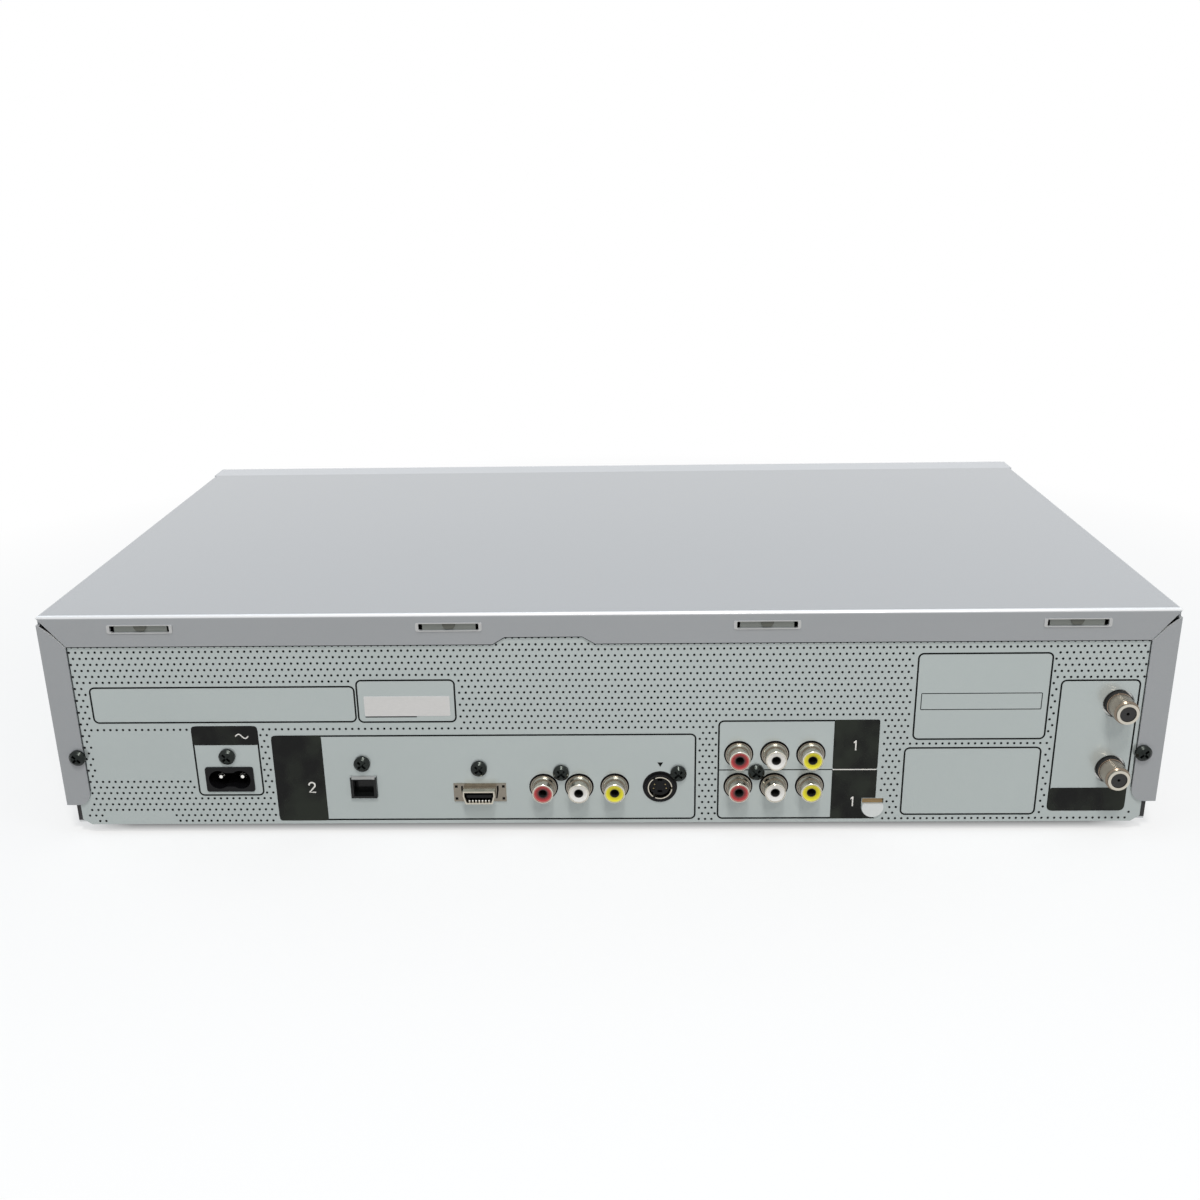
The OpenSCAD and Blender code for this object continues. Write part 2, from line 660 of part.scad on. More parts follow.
module front_panel() color([0.72, 0.74, 0.77]) {
    cheek_t = 2.5;
    difference() {
        union() {
            difference() {
                front_shell(0);
                front_shell(front_wall);
            }
            // tongue under the cover's front edge
            block([-half_w + 8, seam_y - 6, roof_z - 1.9], [half_w - 8, seam_y + 5, roof_z - 0.3]);
            block([-half_w + 8, seam_y - 6, roof_z - 1.9], [half_w - 8, seam_y - 4, top_z - 1]);
            // cheeks beside the cassette slot, with the flap's bearings
            both_sides(deck_x) block([flap_w / 2 + 0.4, front_y + 1, flap_z - 1], [flap_w / 2 + 0.4 + cheek_t,
                seam_y - 1, flap_z + flap_h + 2]);
            // sill and lintel of the cassette slot
            block([deck_x - flap_w / 2, upper_in - eps, flap_z - 2.4], [deck_x + flap_w / 2, seam_y - 1, flap_z - 0.5]);
            // walls round the disc tray's way
            both_sides(loader_x) block([bezel_w / 2 + 0.6, upper_in - eps, bezel_z0 - 2], [bezel_w / 2 + 2.4,
                seam_y - 2, bezel_z1 + 2]);
            // pegs that the front board is screwed to
            for (p = board_pegs) bar_y(p[0], p[1], 2, lower_in - eps, board_y);
        }
        // cassette slot
        block([deck_x - flap_w / 2 - 0.4, front_y - 1, flap_z - 0.4],
            [deck_x + flap_w / 2 + 0.4, seam_y + 1, flap_z + flap_h + 0.4]);
        // disc tray slot
        block([loader_x - bezel_w / 2 - 0.4, front_y - 1, bezel_z0 - 0.4],
            [loader_x + bezel_w / 2 + 0.4, upper_in + 1, bezel_z1 + 0.4]);
        translate([window_x, 0, window_z]) along_y(front_y - 1, lower_in + 1)
            rounded(window_w + 0.4, window_h + 0.4, 3.2);
        pocket(0, front_y - 1, lower_in + eps);
        key_holes(push_keys);
        key_holes(rockers);
        bar_x(flap_axis_y, flap_axis_z, flap_pin_r + run_gap, deck_x - flap_w / 2 - 2.4, deck_x + flap_w / 2 + 2.4);
        bar_x(door_axis_y, door_axis_z, door_pin_r + run_gap, door_x - door_w / 2 - 1.2, door_x + door_w / 2 + 1.2);
    }
}

module display_window() color([0.06, 0.07, 0.09]) {
    translate([window_x, 0, window_z]) {
        along_y(lower_y + 0.2, lower_in + 0.1) rounded(window_w, window_h, 3);
        along_y(lower_in + 0.1 - eps, lower_in + 1.3) rounded(window_w + 5, window_h + 4, 3);
    }
}

board_pegs = [
    for (s = [-1, 1], z = [7, 36]) [window_x + s * (window_w / 2 + 5.4), foot_h + z],
    [record_x + (record_w + face_gap) / 2, foot_h + 36],
    for (z = [10, 33]) [power_x, foot_h + z]
];
door_axis_y = lower_y + 0.2 + door_t / 2;
door_axis_z = door_z - door_h / 2 + 2.2;

module jack_door() color([0.72, 0.74, 0.77]) {
    difference() {
        union() {
            translate([door_x, 0, door_z]) along_y(lower_y + 0.2, lower_y + 0.2 + door_t)
                rounded(door_w - 0.6, door_h - 0.6, 1.5);
            both_sides(door_x) bar_x(door_axis_y, door_axis_z, door_pin_r, door_w / 2 - 6, door_w / 2 + 0.9);
            both_sides(door_x) bar_x(door_axis_y, door_axis_z, 1.7, door_w / 2 - 6, door_w / 2 - 0.3);
        }
        // finger notch at the upper edge
        translate([door_x, lower_y + 0.2, door_z + door_h / 2 + 5]) rotate([-90, 0, 0])
            translate([0, 0, -eps]) cylinder(r = 8, h = 0.9);
    }
}

// A key with a flange behind the face and a stem to its switch
module push_key(k) {
    face = k[4] ? lower_y : front_y;
    wall = face + front_wall;
    translate([k[0], 0, foot_h + k[1]]) {
        difference() {
            along_y(face - key_proud, wall + 0.3) rounded(k[2], k[3], 1.8);
            along_y(face - key_proud - 1, face - key_proud + 0.25) rounded(k[2] - 3, k[3] - 3, 1.4);
        }
        along_y(wall + 0.3 - eps, wall + 1.5) rounded(k[2] + 1.6, k[3] + 1.6, 1);
        bar_y(0, 0, 1.5, wall + 1.5 - eps, board_y - switch_h - key_travel - 0.2);
    }
}

// A rocker key: a shallow arc across its long side, and two stems
module rocker_key(k, upright) {
    face = lower_y;
    l = upright ? k[3] : k[2];
    translate([k[0], 0, foot_h + k[1]]) {
        difference() {
            along_y(face - key_proud, face + front_wall) rounded(k[2], k[3], 1.8);
            rotate([0, upright ? 90 : 0, 0]) translate([0, face - key_proud - 3.6, 0])
                translate([0, 0, -20]) cylinder(r = 4.2, h = 40);
        }
        rotate([0, upright ? 90 : 0, 0]) for (s = [-1, 1])
            bar_y(s * (l / 2 - 6), 0, 1.5, face + front_wall - eps, board_y - switch_h - 1.4);
    }
}

module power_button() color([0.8, 0.82, 0.84]) push_key(power_key);
module eject_button() color([0.8, 0.82, 0.84]) push_key(eject_key);
module open_close_button() color([0.8, 0.82, 0.84]) push_key(open_key);
module play_button() color([0.8, 0.82, 0.84]) push_key(play_key);
module stop_button() color([0.8, 0.82, 0.84]) push_key(stop_key);
module record_button() color([0.8, 0.82, 0.84]) push_key(record_key);
module wind_rocker() color([0.8, 0.82, 0.84]) rocker_key(wind_key, false);
module channel_rocker() color([0.8, 0.82, 0.84]) rocker_key(channel_key, true);

module tact_switch(x, z) {
    block([x - 3, board_y - switch_h + 0.9, z - 3], [x + 3, board_y + eps, z + 3]);
    bar_y(x, z, 1.7, board_y - switch_h, board_y - switch_h + 1);
}

module front_board() color([0.72, 0.58, 0.36]) {
    back = board_y + board_t;
    difference() {
        union() {
            block([board_pegs[0][0] - 2.2, board_y, foot_h + 4], [half_w - 7, back, foot_h + 39]);
            block([eject_key[0] - 12, board_y, foot_h + 38], [open_key[0] + 12, back, foot_h + upper_keys_h + 4]);
            block([power_x - 10, board_y, foot_h + 7], [power_x + 10, back, foot_h + 36]);
            for (k = push_keys) tact_switch(k[0], foot_h + k[1]);
            for (s = [-1, 1]) {
                tact_switch(wind_key[0] + s * (wind_key[2] / 2 - 6), foot_h + wind_key[1]);
                tact_switch(channel_key[0], foot_h + channel_key[1] + s * (channel_key[3] / 2 - 6));
            }
            // display tube behind the window
            block([window_x - 52, board_y - 6, window_z - 9], [window_x + 52, board_y + eps, window_z + 9]);
        }
        for (p = board_pegs) bar_y(p[0], p[1], 1.2, board_y - 1, back + 1);
    }
}

// --- cassette deck ---

module deck_plate() color([0.66, 0.67, 0.68]) {
    difference() {
        union() {
            difference() {
                block([deck_x - deck_half, seam_y + 8.5, deck_z], [deck_x + deck_half, tape_y1 + 73, deck_top]);
                block([deck_x - 110, inner_y - tuner_l - 6, deck_z - 1], [tuner_x0 + tuner_w + 2, tape_y1 + 90, deck_top + 1]);
                // openings under the reels' drive
                translate([deck_x, (seam_y + 8.5 + reel_y - reel_r) / 2, deck_z - 1]) linear_extrude(5) rounded(70, 14, 4);
                translate([deck_x, reel_y + 30, deck_z - 1]) linear_extrude(5) rounded(52, 14, 4);
                // curved ways of the loading posts
                for (s = [-1, 1]) translate([drum_x, drum_y, deck_z - 1]) rotate_extrude(start = s > 0 ? -50 : 190,
                    angle = 40) translate([drum_r + 7, 0]) square([4.5, 5]);
            }
            // pins of the reels, cam gear and pinch arm, and the capstan's bearing
            for (s = [-1, 1]) post(deck_x + s * reel_pitch / 2, reel_y, reel_pin_r, deck_top - eps, deck_top + 16);
            for (s = [-1, 1]) post(deck_x + s * reel_pitch / 2, reel_y, 4, deck_top - eps, deck_top + 0.6);
            post(cam_x, cam_y, cam_pin_r, deck_top - eps, deck_top + 6);
            post(cam_x, cam_y, cam_pin_r + 2, deck_top - eps, deck_top + 0.6);
            post(arm_x, arm_y, arm_pin_r, deck_top - eps, deck_top + 12);
            post(arm_x, arm_y, arm_pin_r + 2, deck_top - eps, deck_top + 4);
            post(capstan_x, capstan_y, 5, deck_z - 1.2, deck_top + 5);
            // cassette rests
            for (s = [-1, 1], y = [14, 96]) post(deck_x + s * (holder_x - shelf_w - 6), tape_y0 + y, 2.5,
                deck_top - eps, bay_z - holder_down - clear);
        }
        post(capstan_x, capstan_y, capstan_r + run_gap, deck_z - 3, deck_top + 8);
        for (p = deck_posts) post(p[0], p[1], 1.7, deck_z - 1, deck_top + 1);
    }
}

module lean() translate([drum_x, drum_y, drum_z]) rotate([-drum_lean, 0, 0]) children();

module lower_drum() color([0.78, 0.78, 0.8]) {
    difference() {
        union() {
            lean() difference() {
                cylinder(r = drum_r, h = drum_h, $fn = 96);
                // step that leads the tape's edge
                translate([0, 0, drum_h - 5]) rotate([3, 0, 0]) difference() {
                    cylinder(r = drum_r + 2, h = 9, $fn = 96);
                    translate([0, 0, -1]) cylinder(r = drum_r - 0.4, h = 11, $fn = 96);
                }
            }
            post(drum_x, drum_y, 15, deck_top, drum_z + 4);
        }
        lean() translate([0, 0, -8]) cylinder(r = 3 + run_gap, h = 40);
    }
}

module upper_drum() color([0.84, 0.84, 0.86]) lean() {
    z = drum_h + drum_gap;
    difference() {
        translate([0, 0, z]) cylinder(r = drum_r, h = drum_h - 1, $fn = 96);
        translate([0, 0, z + 3]) difference() {
            cylinder(r = drum_r - 4, h = drum_h, $fn = 96);
            translate([0, 0, -1]) cylinder(r = 9, h = drum_h + 2);
        }
        // windows of the video heads at the lower edge
        for (a = [0, 90, 180, 270]) rotate([0, 0, a]) translate([drum_r - 2, -2, z - 1]) cube([4, 4, 2.5]);
    }
    translate([0, 0, 4]) cylinder(r = 3, h = z - 4 + 1);
    translate([0, 0, z + 2]) cylinder(r = 22, h = 1.5);
}

module capstan() color([0.6, 0.61, 0.63]) translate([capstan_x, capstan_y, 0]) {
    top = deck_z - 1.5;
    post(0, 0, capstan_r, top - 8, deck_top + 27);
    difference() {
        post(0, 0, flywheel_r, top - 7, top);
        for (a = [0:60:300]) rotate([0, 0, a]) post(15, 0, 3.5, top - 8, top + 1);
    }
}

module pinch_arm() color([0.7, 0.7, 0.72]) {
    z = deck_top + 4.3;
    difference() {
        union() {
            post(arm_x, arm_y, 4, z, z + 7);
            translate([arm_x, arm_y, z]) rotate([0, 0, roller_angle])
                block([0, -3, 0], [arm_l, 3, 1.6]);
            post(roller_x, roller_y, 4, z, z + 1.6);
            post(roller_x, roller_y, 1.5, z, z + 20);
        }
        post(arm_x, arm_y, arm_pin_r + run_gap, z - 1, z + 8);
    }
}

module pinch_roller() color([0.12, 0.12, 0.12]) {
    z = deck_top + 6.2;
    difference() {
        post(roller_x, roller_y, pinch_r, z, z + 15);
        post(roller_x, roller_y, 1.5 + run_gap, z - 1, z + 16);
    }
}

module reel(x) translate([x, reel_y, deck_top + 0.9]) difference() {
    union() {
        cylinder(r = reel_r, h = 1.2);
        cylinder(r = reel_r - 2, h = 3);
        cylinder(r = 5, h = 14.5);
        translate([0, 0, 14.5 - eps]) cylinder(r1 = 5, r2 = 3.4, h = 2.2);
        for (a = [0:60:300]) rotate([0, 0, a]) block([0, -0.7, 2], [6.6, 0.7, 12]);
    }
    translate([0, 0, -1]) cylinder(r = reel_pin_r + run_gap, h = 16.5);
}

module supply_reel() color([0.2, 0.2, 0.22]) reel(deck_x - reel_pitch / 2);
module takeup_reel() color([0.2, 0.2, 0.22]) reel(deck_x + reel_pitch / 2);

module cam_gear() color([0.88, 0.87, 0.82]) translate([cam_x, cam_y, deck_top + 0.9]) difference() {
    union() {
        linear_extrude(3) spur_outline(cam_teeth, cam_module);
        cylinder(r = 8, h = 5);
    }
    translate([0, 0, -1]) cylinder(r = cam_pin_r + run_gap, h = 8);
    // cam groove
    translate([3, 0, 1.6]) difference() {
        cylinder(r = 13.6, h = 5);
        translate([0, 0, -1]) cylinder(r = 11, h = 7);
        translate([-20, -20, -1]) cube([12, 40, 7]);
    }
}

module tape_heads() color([0.72, 0.72, 0.7]) {
    z = deck_top;
    // full erase head
    block([deck_x - 62, tape_y1 + 24, z], [deck_x - 50, tape_y1 + 34, z + 2]);
    block([deck_x - 59, tape_y1 + 26, z + 2 - eps], [deck_x - 52, tape_y1 + 32, z + 27]);
    // sound and control head on its plate
    block([deck_x + 35, tape_y1 + 16, z], [deck_x + 48, tape_y1 + 26, z + 2]);
    block([deck_x + 38, tape_y1 + 18, z + 2 - eps], [deck_x + 46, tape_y1 + 24, z + 27]);
    // guide rollers beside the drum
    for (s = [-1, 1]) {
        post(drum_x + s * (drum_r + 9), drum_y - 11, 4, z, z + 2);
        post(drum_x + s * (drum_r + 9), drum_y - 11, 1, z + 2 - eps, z + 30);
        post(drum_x + s * (drum_r + 9), drum_y - 11, 3, z + 6, z + 27);
    }
}

module lift_frame() color([0.64, 0.65, 0.66]) {
    z1 = lift_top;
    both_sides(deck_x) {
        difference() {
            block([lift_x, holder_y0, deck_top], [lift_x + lift_t, tape_y1 + 3, z1]);
            block([lift_x - 1, holder_y0 + 8 - guide_r - 0.2, guide_z - guide_r - 0.15], [lift_x + lift_t + 1,
                holder_y1 - 5 + holder_in + guide_r + 0.2, guide_z + guide_r + 0.15]);
            // lightening holes
            for (f = [0.27, 0.69]) along_x(lift_x - 1, lift_x + lift_t + 1)
                translate([holder_y0 + f * (tape_y1 + 3 - holder_y0), (deck_top + guide_z) / 2 - 2]) rounded(30, 20, 4);
        }
        block([lift_x - 5, holder_y0, deck_top], [lift_x + eps, tape_y1 + 3, deck_top + 1]);
    }
    block([deck_x - lift_x - lift_t, holder_y0 + 34, z1 - 1.2], [deck_x + lift_x + lift_t, holder_y0 + 50, z1]);
}

module holder_carriage() color([0.5, 0.51, 0.53]) {
    low = bay_z - 10;
    bar_z = holder_top + clear + 1;
    difference() {
        union() {
            both_sides(deck_x) {
                block([carriage_x, holder_y0 + 2, low], [carriage_x + carriage_t, holder_y1 - 2, bar_z + 1]);
                for (y = [holder_y0 + 8, holder_y1 - 5]) bar_x(y, guide_z, guide_r, carriage_x, lift_x + lift_t + 0.8);
            }
            block([deck_x - carriage_x - carriage_t, holder_y0 + 2, bar_z],
                [deck_x + carriage_x + carriage_t, holder_y0 + 12, bar_z + 1]);
        }
        // upright slots for the holder's pins
        both_sides(deck_x) for (y = holder_pins_y) block([carriage_x - 1, y - 1.65, holder_pin_z - holder_down - 1.8],
            [carriage_x + carriage_t + 1, y + 1.65, holder_pin_z + 1.8]);
    }
}

holder_pins_y = [holder_y0 + 16, holder_y1 - 14];
holder_pin_z = bay_z + 14;

module cassette_holder() color([0.55, 0.56, 0.58]) {
    z0 = bay_z - 0.1 - holder_wall;
    both_sides(deck_x) {
        block([holder_x, holder_y0, z0], [holder_out, holder_y1 + holder_wall, holder_top]);
        block([holder_x - shelf_w, holder_y0, z0], [holder_x + eps, holder_y1 + holder_wall, z0 + holder_wall]);
        block([holder_x - shelf_w, holder_y1, z0], [holder_x + eps, holder_y1 + holder_wall, holder_top]);
        for (y = holder_pins_y) bar_x(y, holder_pin_z, guide_r, holder_out - eps, carriage_x + carriage_t + 0.6);
    }
    difference() {
        block([deck_x - holder_x - eps, holder_y0, holder_top - holder_wall],
            [deck_x + holder_x + eps, holder_y1 + holder_wall, holder_top]);
        // window over the cassette and cuts beside two leaf springs
        translate([deck_x, (holder_y0 + holder_y1) / 2, holder_top - 3]) linear_extrude(5) rounded(70, 30, 4);
        for (s = [-1, 1]) translate([deck_x + s * 62, holder_y1 - 20, holder_top - 3]) linear_extrude(5) difference() {
            rounded(16, 32, 2);
            translate([-5, -18]) square([10, 30]);
        }
    }
}

module cassette_flap() color([0.72, 0.74, 0.77]) {
    difference() {
        union() {
            translate([deck_x, 0, flap_z + flap_h / 2])
                along_y(front_y + 0.6, front_y + 0.6 + flap_t) rounded(flap_w - 0.4, flap_h - 0.3, 0.8);
            both_sides(deck_x) bar_x(flap_axis_y, flap_axis_z, flap_pin_r, flap_w / 2 - 3, flap_w / 2 + 2.1);
        }
        // shallow field where a cassette is pushed in
        translate([deck_x, 0, flap_z + 11]) along_y(front_y, front_y + 1) rounded(150, 14, 3);
    }
}

// --- gears ---

function involute(a) = tan(a) - a * PI / 180;
// Half the angle that a tooth takes up at radius r, in degrees
function tooth_angle(n, m, r) = let (rp = n * m / 2, rb = rp * cos(20), a = acos(min(1, rb / r)))
    (90 / n - backlash / 2 / rp * 180 / PI / 2) + (involute(20) - involute(a)) * 180 / PI;
function polar(r, a) = [r * cos(a), r * sin(a)];

// Outline of a spur gear with one tooth on the +X axis
module spur_outline(n, m) {
    rp = n * m / 2;
    root = rp - 1.2 * m;
    tip = rp + 0.95 * m;
    start = max(root + 0.05, rp * cos(20));
    radii = [for (i = [0:3]) start + (tip - start) * i / 3];
    polygon([for (k = [0:n - 1]) each let (c = k * 360 / n) concat(
        [polar(root, c - tooth_angle(n, m, start) - 20 / n)],
        [for (r = radii) polar(r, c - tooth_angle(n, m, r))],
        [for (i = [3:-1:0]) polar(radii[i], c + tooth_angle(n, m, radii[i]))],
        [polar(root, c + tooth_angle(n, m, start) + 20 / n)]
    )]);
}

module drive_gear() color([0.9, 0.89, 0.84]) translate([gear_x, gear_y, 0]) difference() {
    union() {
        translate([0, 0, wheel_z]) linear_extrude(wheel_t) rotate([0, 0, motor_angle]) spur_outline(wheel_teeth, wheel_module);
        // a tooth of the pinion points at the rack
        translate([0, 0, teeth_z]) linear_extrude(3.7) rotate([0, 0, 180]) spur_outline(pinion_teeth, rack_module);
        post(0, 0, 6, wheel_z + wheel_t - eps, teeth_z + eps);
    }
    post(0, 0, gear_pin_r + run_gap, wheel_z - 1, tray_z + 1);
    // round windows in the wheel's web
    for (a = [0:60:300]) rotate([0, 0, a]) post(wheel_r * 0.64, 0, 2.6, wheel_z - 1, wheel_z + wheel_t + 0.2);
}

module motor_pinion() color([0.85, 0.8, 0.55]) translate([motor_x, motor_y, 0]) difference() {
    // a gap of the pinion faces the wheel's tooth
    translate([0, 0, wheel_z - 0.1]) linear_extrude(wheel_t + 0.6)
        rotate([0, 0, motor_angle + 180 + 180 / motor_teeth]) spur_outline(motor_teeth, wheel_module);
    post(0, 0, 1 + run_gap, wheel_z - 2, wheel_z + wheel_t + 2);
}

module tray_motor() color([0.7, 0.71, 0.72]) {
    post(motor_x, motor_y, motor_can_r, shelf_z - 15, shelf_z - eps);
    post(motor_x, motor_y, 1, shelf_z - eps, wheel_z + wheel_t + 1.4);
    post(motor_x, motor_y, 3, shelf_z - 17, shelf_z - 15 + eps);
}

// --- disc loader ---

module loader_frame() color([0.13, 0.13, 0.14]) {
    difference() {
        union() {
            both_sides(loader_x) {
                block([loader_half - loader_wall, loader_y0, loader_z], [loader_half, loader_y1, loader_top]);
                // rail under the tray's edge and tabs over it
                block([loader_half - rail_w, loader_y0, tray_z - 2 - clear], [loader_half, loader_y1 - 2, tray_z - clear]);
                for (y = [loader_y0 + 2, loader_y0 + 60, loader_y0 + 112])
                    block([loader_half - rail_w + 2, y, tray_z + tray_rim + clear], [loader_half, y + 12, loader_top]);
                block([loader_half - 14, loader_y0, loader_z], [loader_half, loader_y0 + 16, loader_z + 2]);
                // ears that carry the traverse deck's pins
                block([pivot_x, pivot_y - 5, loader_z], [pivot_x + 4, pivot_y + 5, pivot_z + 4.5]);
            }
            // front shelf with the drive gear's pin
            block([loader_x - loader_half, loader_y0, shelf_z], [loader_x + loader_half, loader_y0 + shelf_l,
                shelf_z + shelf_t]);
            post(gear_x, gear_y, gear_pin_r, shelf_z + shelf_t - eps, tray_z - 0.7);
            // rear floor and rear wall
            block([loader_x - loader_half, pivot_y - 8, loader_z], [loader_x + loader_half, loader_y1, loader_z + 2]);
            block([loader_x - loader_half, loader_y1 - loader_wall, loader_z], [loader_x + loader_half, loader_y1,
                tray_z - 1]);
        }
        post(motor_x, motor_y, 1.6, shelf_z - 1, shelf_z + shelf_t + 1);
        both_sides(loader_x) bar_x(pivot_y, pivot_z, pivot_r + run_gap, pivot_x - 1, pivot_x + 5);
        for (p = loader_posts) post(p[0], p[1], 1.7, loader_z - 1, loader_z + 3);
    }
}

module disc_tray() color([0.1, 0.1, 0.11]) {
    mid_y = (tray_y0 + tray_y1) / 2;
    top = tray_z + tray_rim;
    slot_r = 24;
    difference() {
        translate([loader_x, mid_y, tray_z]) linear_extrude(tray_rim) rounded(tray_w, tray_l, 3);
        // recesses for large and small discs
        post(loader_x, disc_y, disc_r, tray_z + tray_floor, top + 1);
        post(loader_x, disc_y, 40.5, tray_z + tray_floor - 0.7, top + 1);
        // lowered rear part
        block([loader_x - tray_w / 2 + 6, disc_y, tray_z + tray_floor], [loader_x + tray_w / 2 - 6, tray_y1 - 4, top + 1]);
        // way of the turntable and the pickup, open to the rear
        post(loader_x, disc_y, slot_r, tray_z - 1, top + 1);
        block([loader_x - slot_r, disc_y, tray_z - 1], [loader_x + slot_r, tray_y1 + 1, top + 1]);
        // finger notches at the front corners
        for (s = [-1, 1]) post(loader_x + s * 50, disc_y - 48, 12, tray_z + tray_floor, top + 1);
    }
    // rack along the left edge, its teeth towards the middle
    block([rack_x - 5.2, tray_y0 + 4, rack_z], [rack_x - 1.2 * rack_module, tray_y1 - 1, tray_z + eps]);
    pitch = PI * rack_module;
    first = ceil((tray_y0 + 8 - gear_y) / pitch);
    last = floor((tray_y1 - 3 - gear_y) / pitch - 0.5);
    half_tooth = pitch / 4 - backlash / 4;
    slope = tan(20) * rack_module;
    for (i = [first:last]) translate([rack_x, gear_y + (i + 0.5) * pitch, rack_z]) linear_extrude(tray_z - rack_z + eps)
        polygon([
            [-1.25 * rack_module, -half_tooth - 1.25 * slope], [0.9 * rack_module, -half_tooth + 0.9 * slope],
            [0.9 * rack_module, half_tooth - 0.9 * slope], [-1.25 * rack_module, half_tooth + 1.25 * slope]
        ]);
}

module tray_bezel() color([0.72, 0.74, 0.77]) {
    y0 = front_y + 0.5;
    difference() {
        union() {
            translate([loader_x, 0, (bezel_z0 + bezel_z1) / 2]) along_y(y0, y0 + bezel_t)
                rounded(bezel_w, bezel_z1 - bezel_z0, 1.2);
            // hooks over the tray's front edge
            for (s = [-1, 1]) block([loader_x + s * 40 - 6, y0 + bezel_t - eps, tray_z + tray_rim],
                [loader_x + s * 40 + 6, y0 + bezel_t + 6, tray_z + tray_rim + 1]);
        }
        translate([loader_x, 0, bezel_z0 + 4]) along_y(y0 - 1, y0 + 0.4) square([bezel_w - 8, 0.9], center = true);
    }
}

module traverse_deck() color([0.3, 0.31, 0.33]) {
    difference() {
        union() {
            block([loader_x - traverse_half, traverse_y0, traverse_z], [loader_x + traverse_half, traverse_y1,
                traverse_z + traverse_t]);
            both_sides(loader_x) bar_x(pivot_y, pivot_z, pivot_r, traverse_half - 4, pivot_x + 3.6);
            both_sides(loader_x) bar_x(pivot_y, pivot_z, pivot_r + 1, traverse_half - 4, traverse_half + 2.6);
            // base of the spindle motor
            post(loader_x, disc_y, 14, traverse_z, traverse_z + traverse_t + 2);
            // blocks that hold the guide rods
            for (s = [-1, 1], y = [disc_y + 10.5, traverse_y1 - 14])
                block([loader_x + s * rod_x - 3, y, traverse_z], [loader_x + s * rod_x + 3, y + 3, rod_z + 2.2]);
            for (s = [-1, 1]) bar_y(loader_x + s * rod_x, rod_z, rod_r, disc_y + 11, traverse_y1 - 12);
        }
        // well of the pickup
        block([loader_x - 19, disc_y + 15, traverse_z - 1], [loader_x + 19, traverse_y1 - 14, traverse_z + 4]);
        post(loader_x, disc_y, 1.25 + run_gap, traverse_z - 1, traverse_z + 6);
    }
}

module turntable() color([0.2, 0.2, 0.21]) translate([loader_x, disc_y, 0]) {
    z = tray_z + 3.2; // seat of a disc
    post(0, 0, 1.25, traverse_z + 0.3, z);
    post(0, 0, turntable_r - 3, traverse_z + traverse_t + 2.4, z - 2 + eps);
    post(0, 0, turntable_r, z - 2, z);
    post(0, 0, 7.3, z - eps, z + 0.5);
    translate([0, 0, z + 0.5 - eps]) cylinder(r1 = 7.3, r2 = 5.6, h = 0.8);
}

module pickup_sled() color([0.45, 0.46, 0.48]) {
    z0 = traverse_z + 3;
    y0 = sled_y - sled_l / 2;
    difference() {
        union() {
            block([loader_x - rod_x - 4, y0, z0], [loader_x + rod_x + 4, y0 + sled_l, z0 + 4.5]);
            block([loader_x - 16, y0 + 2, traverse_z - 2], [loader_x + 16, y0 + sled_l - 2, z0 + eps]);
            block([loader_x - 11, y0 + 2, z0 + 4.5 - eps], [loader_x + 11, y0 + sled_l - 2, z0 + 8]);
            post(loader_x, sled_y, 5.5, z0 + 8 - eps, z0 + 11.2);
        }
        for (s = [-1, 1]) bar_y(loader_x + s * rod_x, rod_z, rod_r + run_gap, y0 - 1, y0 + sled_l + 1);
        post(loader_x, sled_y, 3.4, z0 + 10, z0 + 12);
    }
    translate([loader_x, sled_y, z0 + 9.2]) intersection() {
        sphere(r = 3.2);
        translate([0, 0, 0.7]) cylinder(r = 3.3, h = 4);
    }
}

module clamp_bridge() color([0.6, 0.61, 0.62]) {
    difference() {
        union() {
            translate([loader_x, disc_y, bridge_z]) linear_extrude(bridge_t) rounded(2 * loader_half, 40, 4);
            for (s = [-1, 1]) translate([loader_x, disc_y + s * 16, bridge_z + bridge_t - eps])
                linear_extrude(0.8) rounded(2 * loader_half - 14, 4, 1.9);
        }
        post(loader_x, disc_y, puck_r - 2, bridge_z - 1, bridge_z + 3);
    }
}

module clamp_puck() color([0.15, 0.15, 0.16]) translate([loader_x, disc_y, 0]) {
    low = tray_z + tray_rim + 0.5;
    post(0, 0, puck_r, low, bridge_z - clear);
    post(0, 0, puck_r - 2.4, bridge_z - clear - eps, bridge_z + bridge_t + clear + eps);
    post(0, 0, puck_r - 0.6, bridge_z + bridge_t + clear, bridge_z + bridge_t + clear + 1.2);
}

// --- rear jacks ---

// Places something on a phono jack's axis, with z = 0 at the face it stands on
module at_jack(j, y, back) {
    translate([j[0], y, j[1]]) rotate([back ? -90 : 90, 0, 0]) children();
}

module jack_shell() {
    difference() {
        union() {
            cylinder(r = shell_r, h = shell_reach - 0.15);
            translate([0, 0, shell_reach - 0.15 - eps]) cylinder(r1 = shell_r, r2 = shell_r - 0.15, h = 0.15 + eps);
            cylinder(r = collar_r - 0.15, h = 0.7);
            cylinder(r1 = shell_r + 0.9, r2 = shell_r + 0.4, h = shell_foot);
        }
        translate([0, 0, -1]) cylinder(r = shell_r - shell_wall, h = shell_reach + 2);
    }
}

module jack_ring() {
    r = shell_r - shell_wall - 0.05;
    h = shell_reach - 0.2;
    difference() {
        cylinder(r = r, h = h);
        translate([0, 0, 0.5]) cylinder(r = 1.6, h = shell_reach);
        translate([0, 0, h - 0.4]) cylinder(r1 = 1.7, r2 = r - 0.3, h = 0.4 + eps);
    }
}

module rings_of(colour) {
    for (j = rear_jacks) if (j[2] == colour) at_jack(j, panel_y, true) jack_ring();
    for (j = front_jacks) if (j[2] == colour) at_jack(j, front_jack_y - pocket_t, false) jack_ring();
}

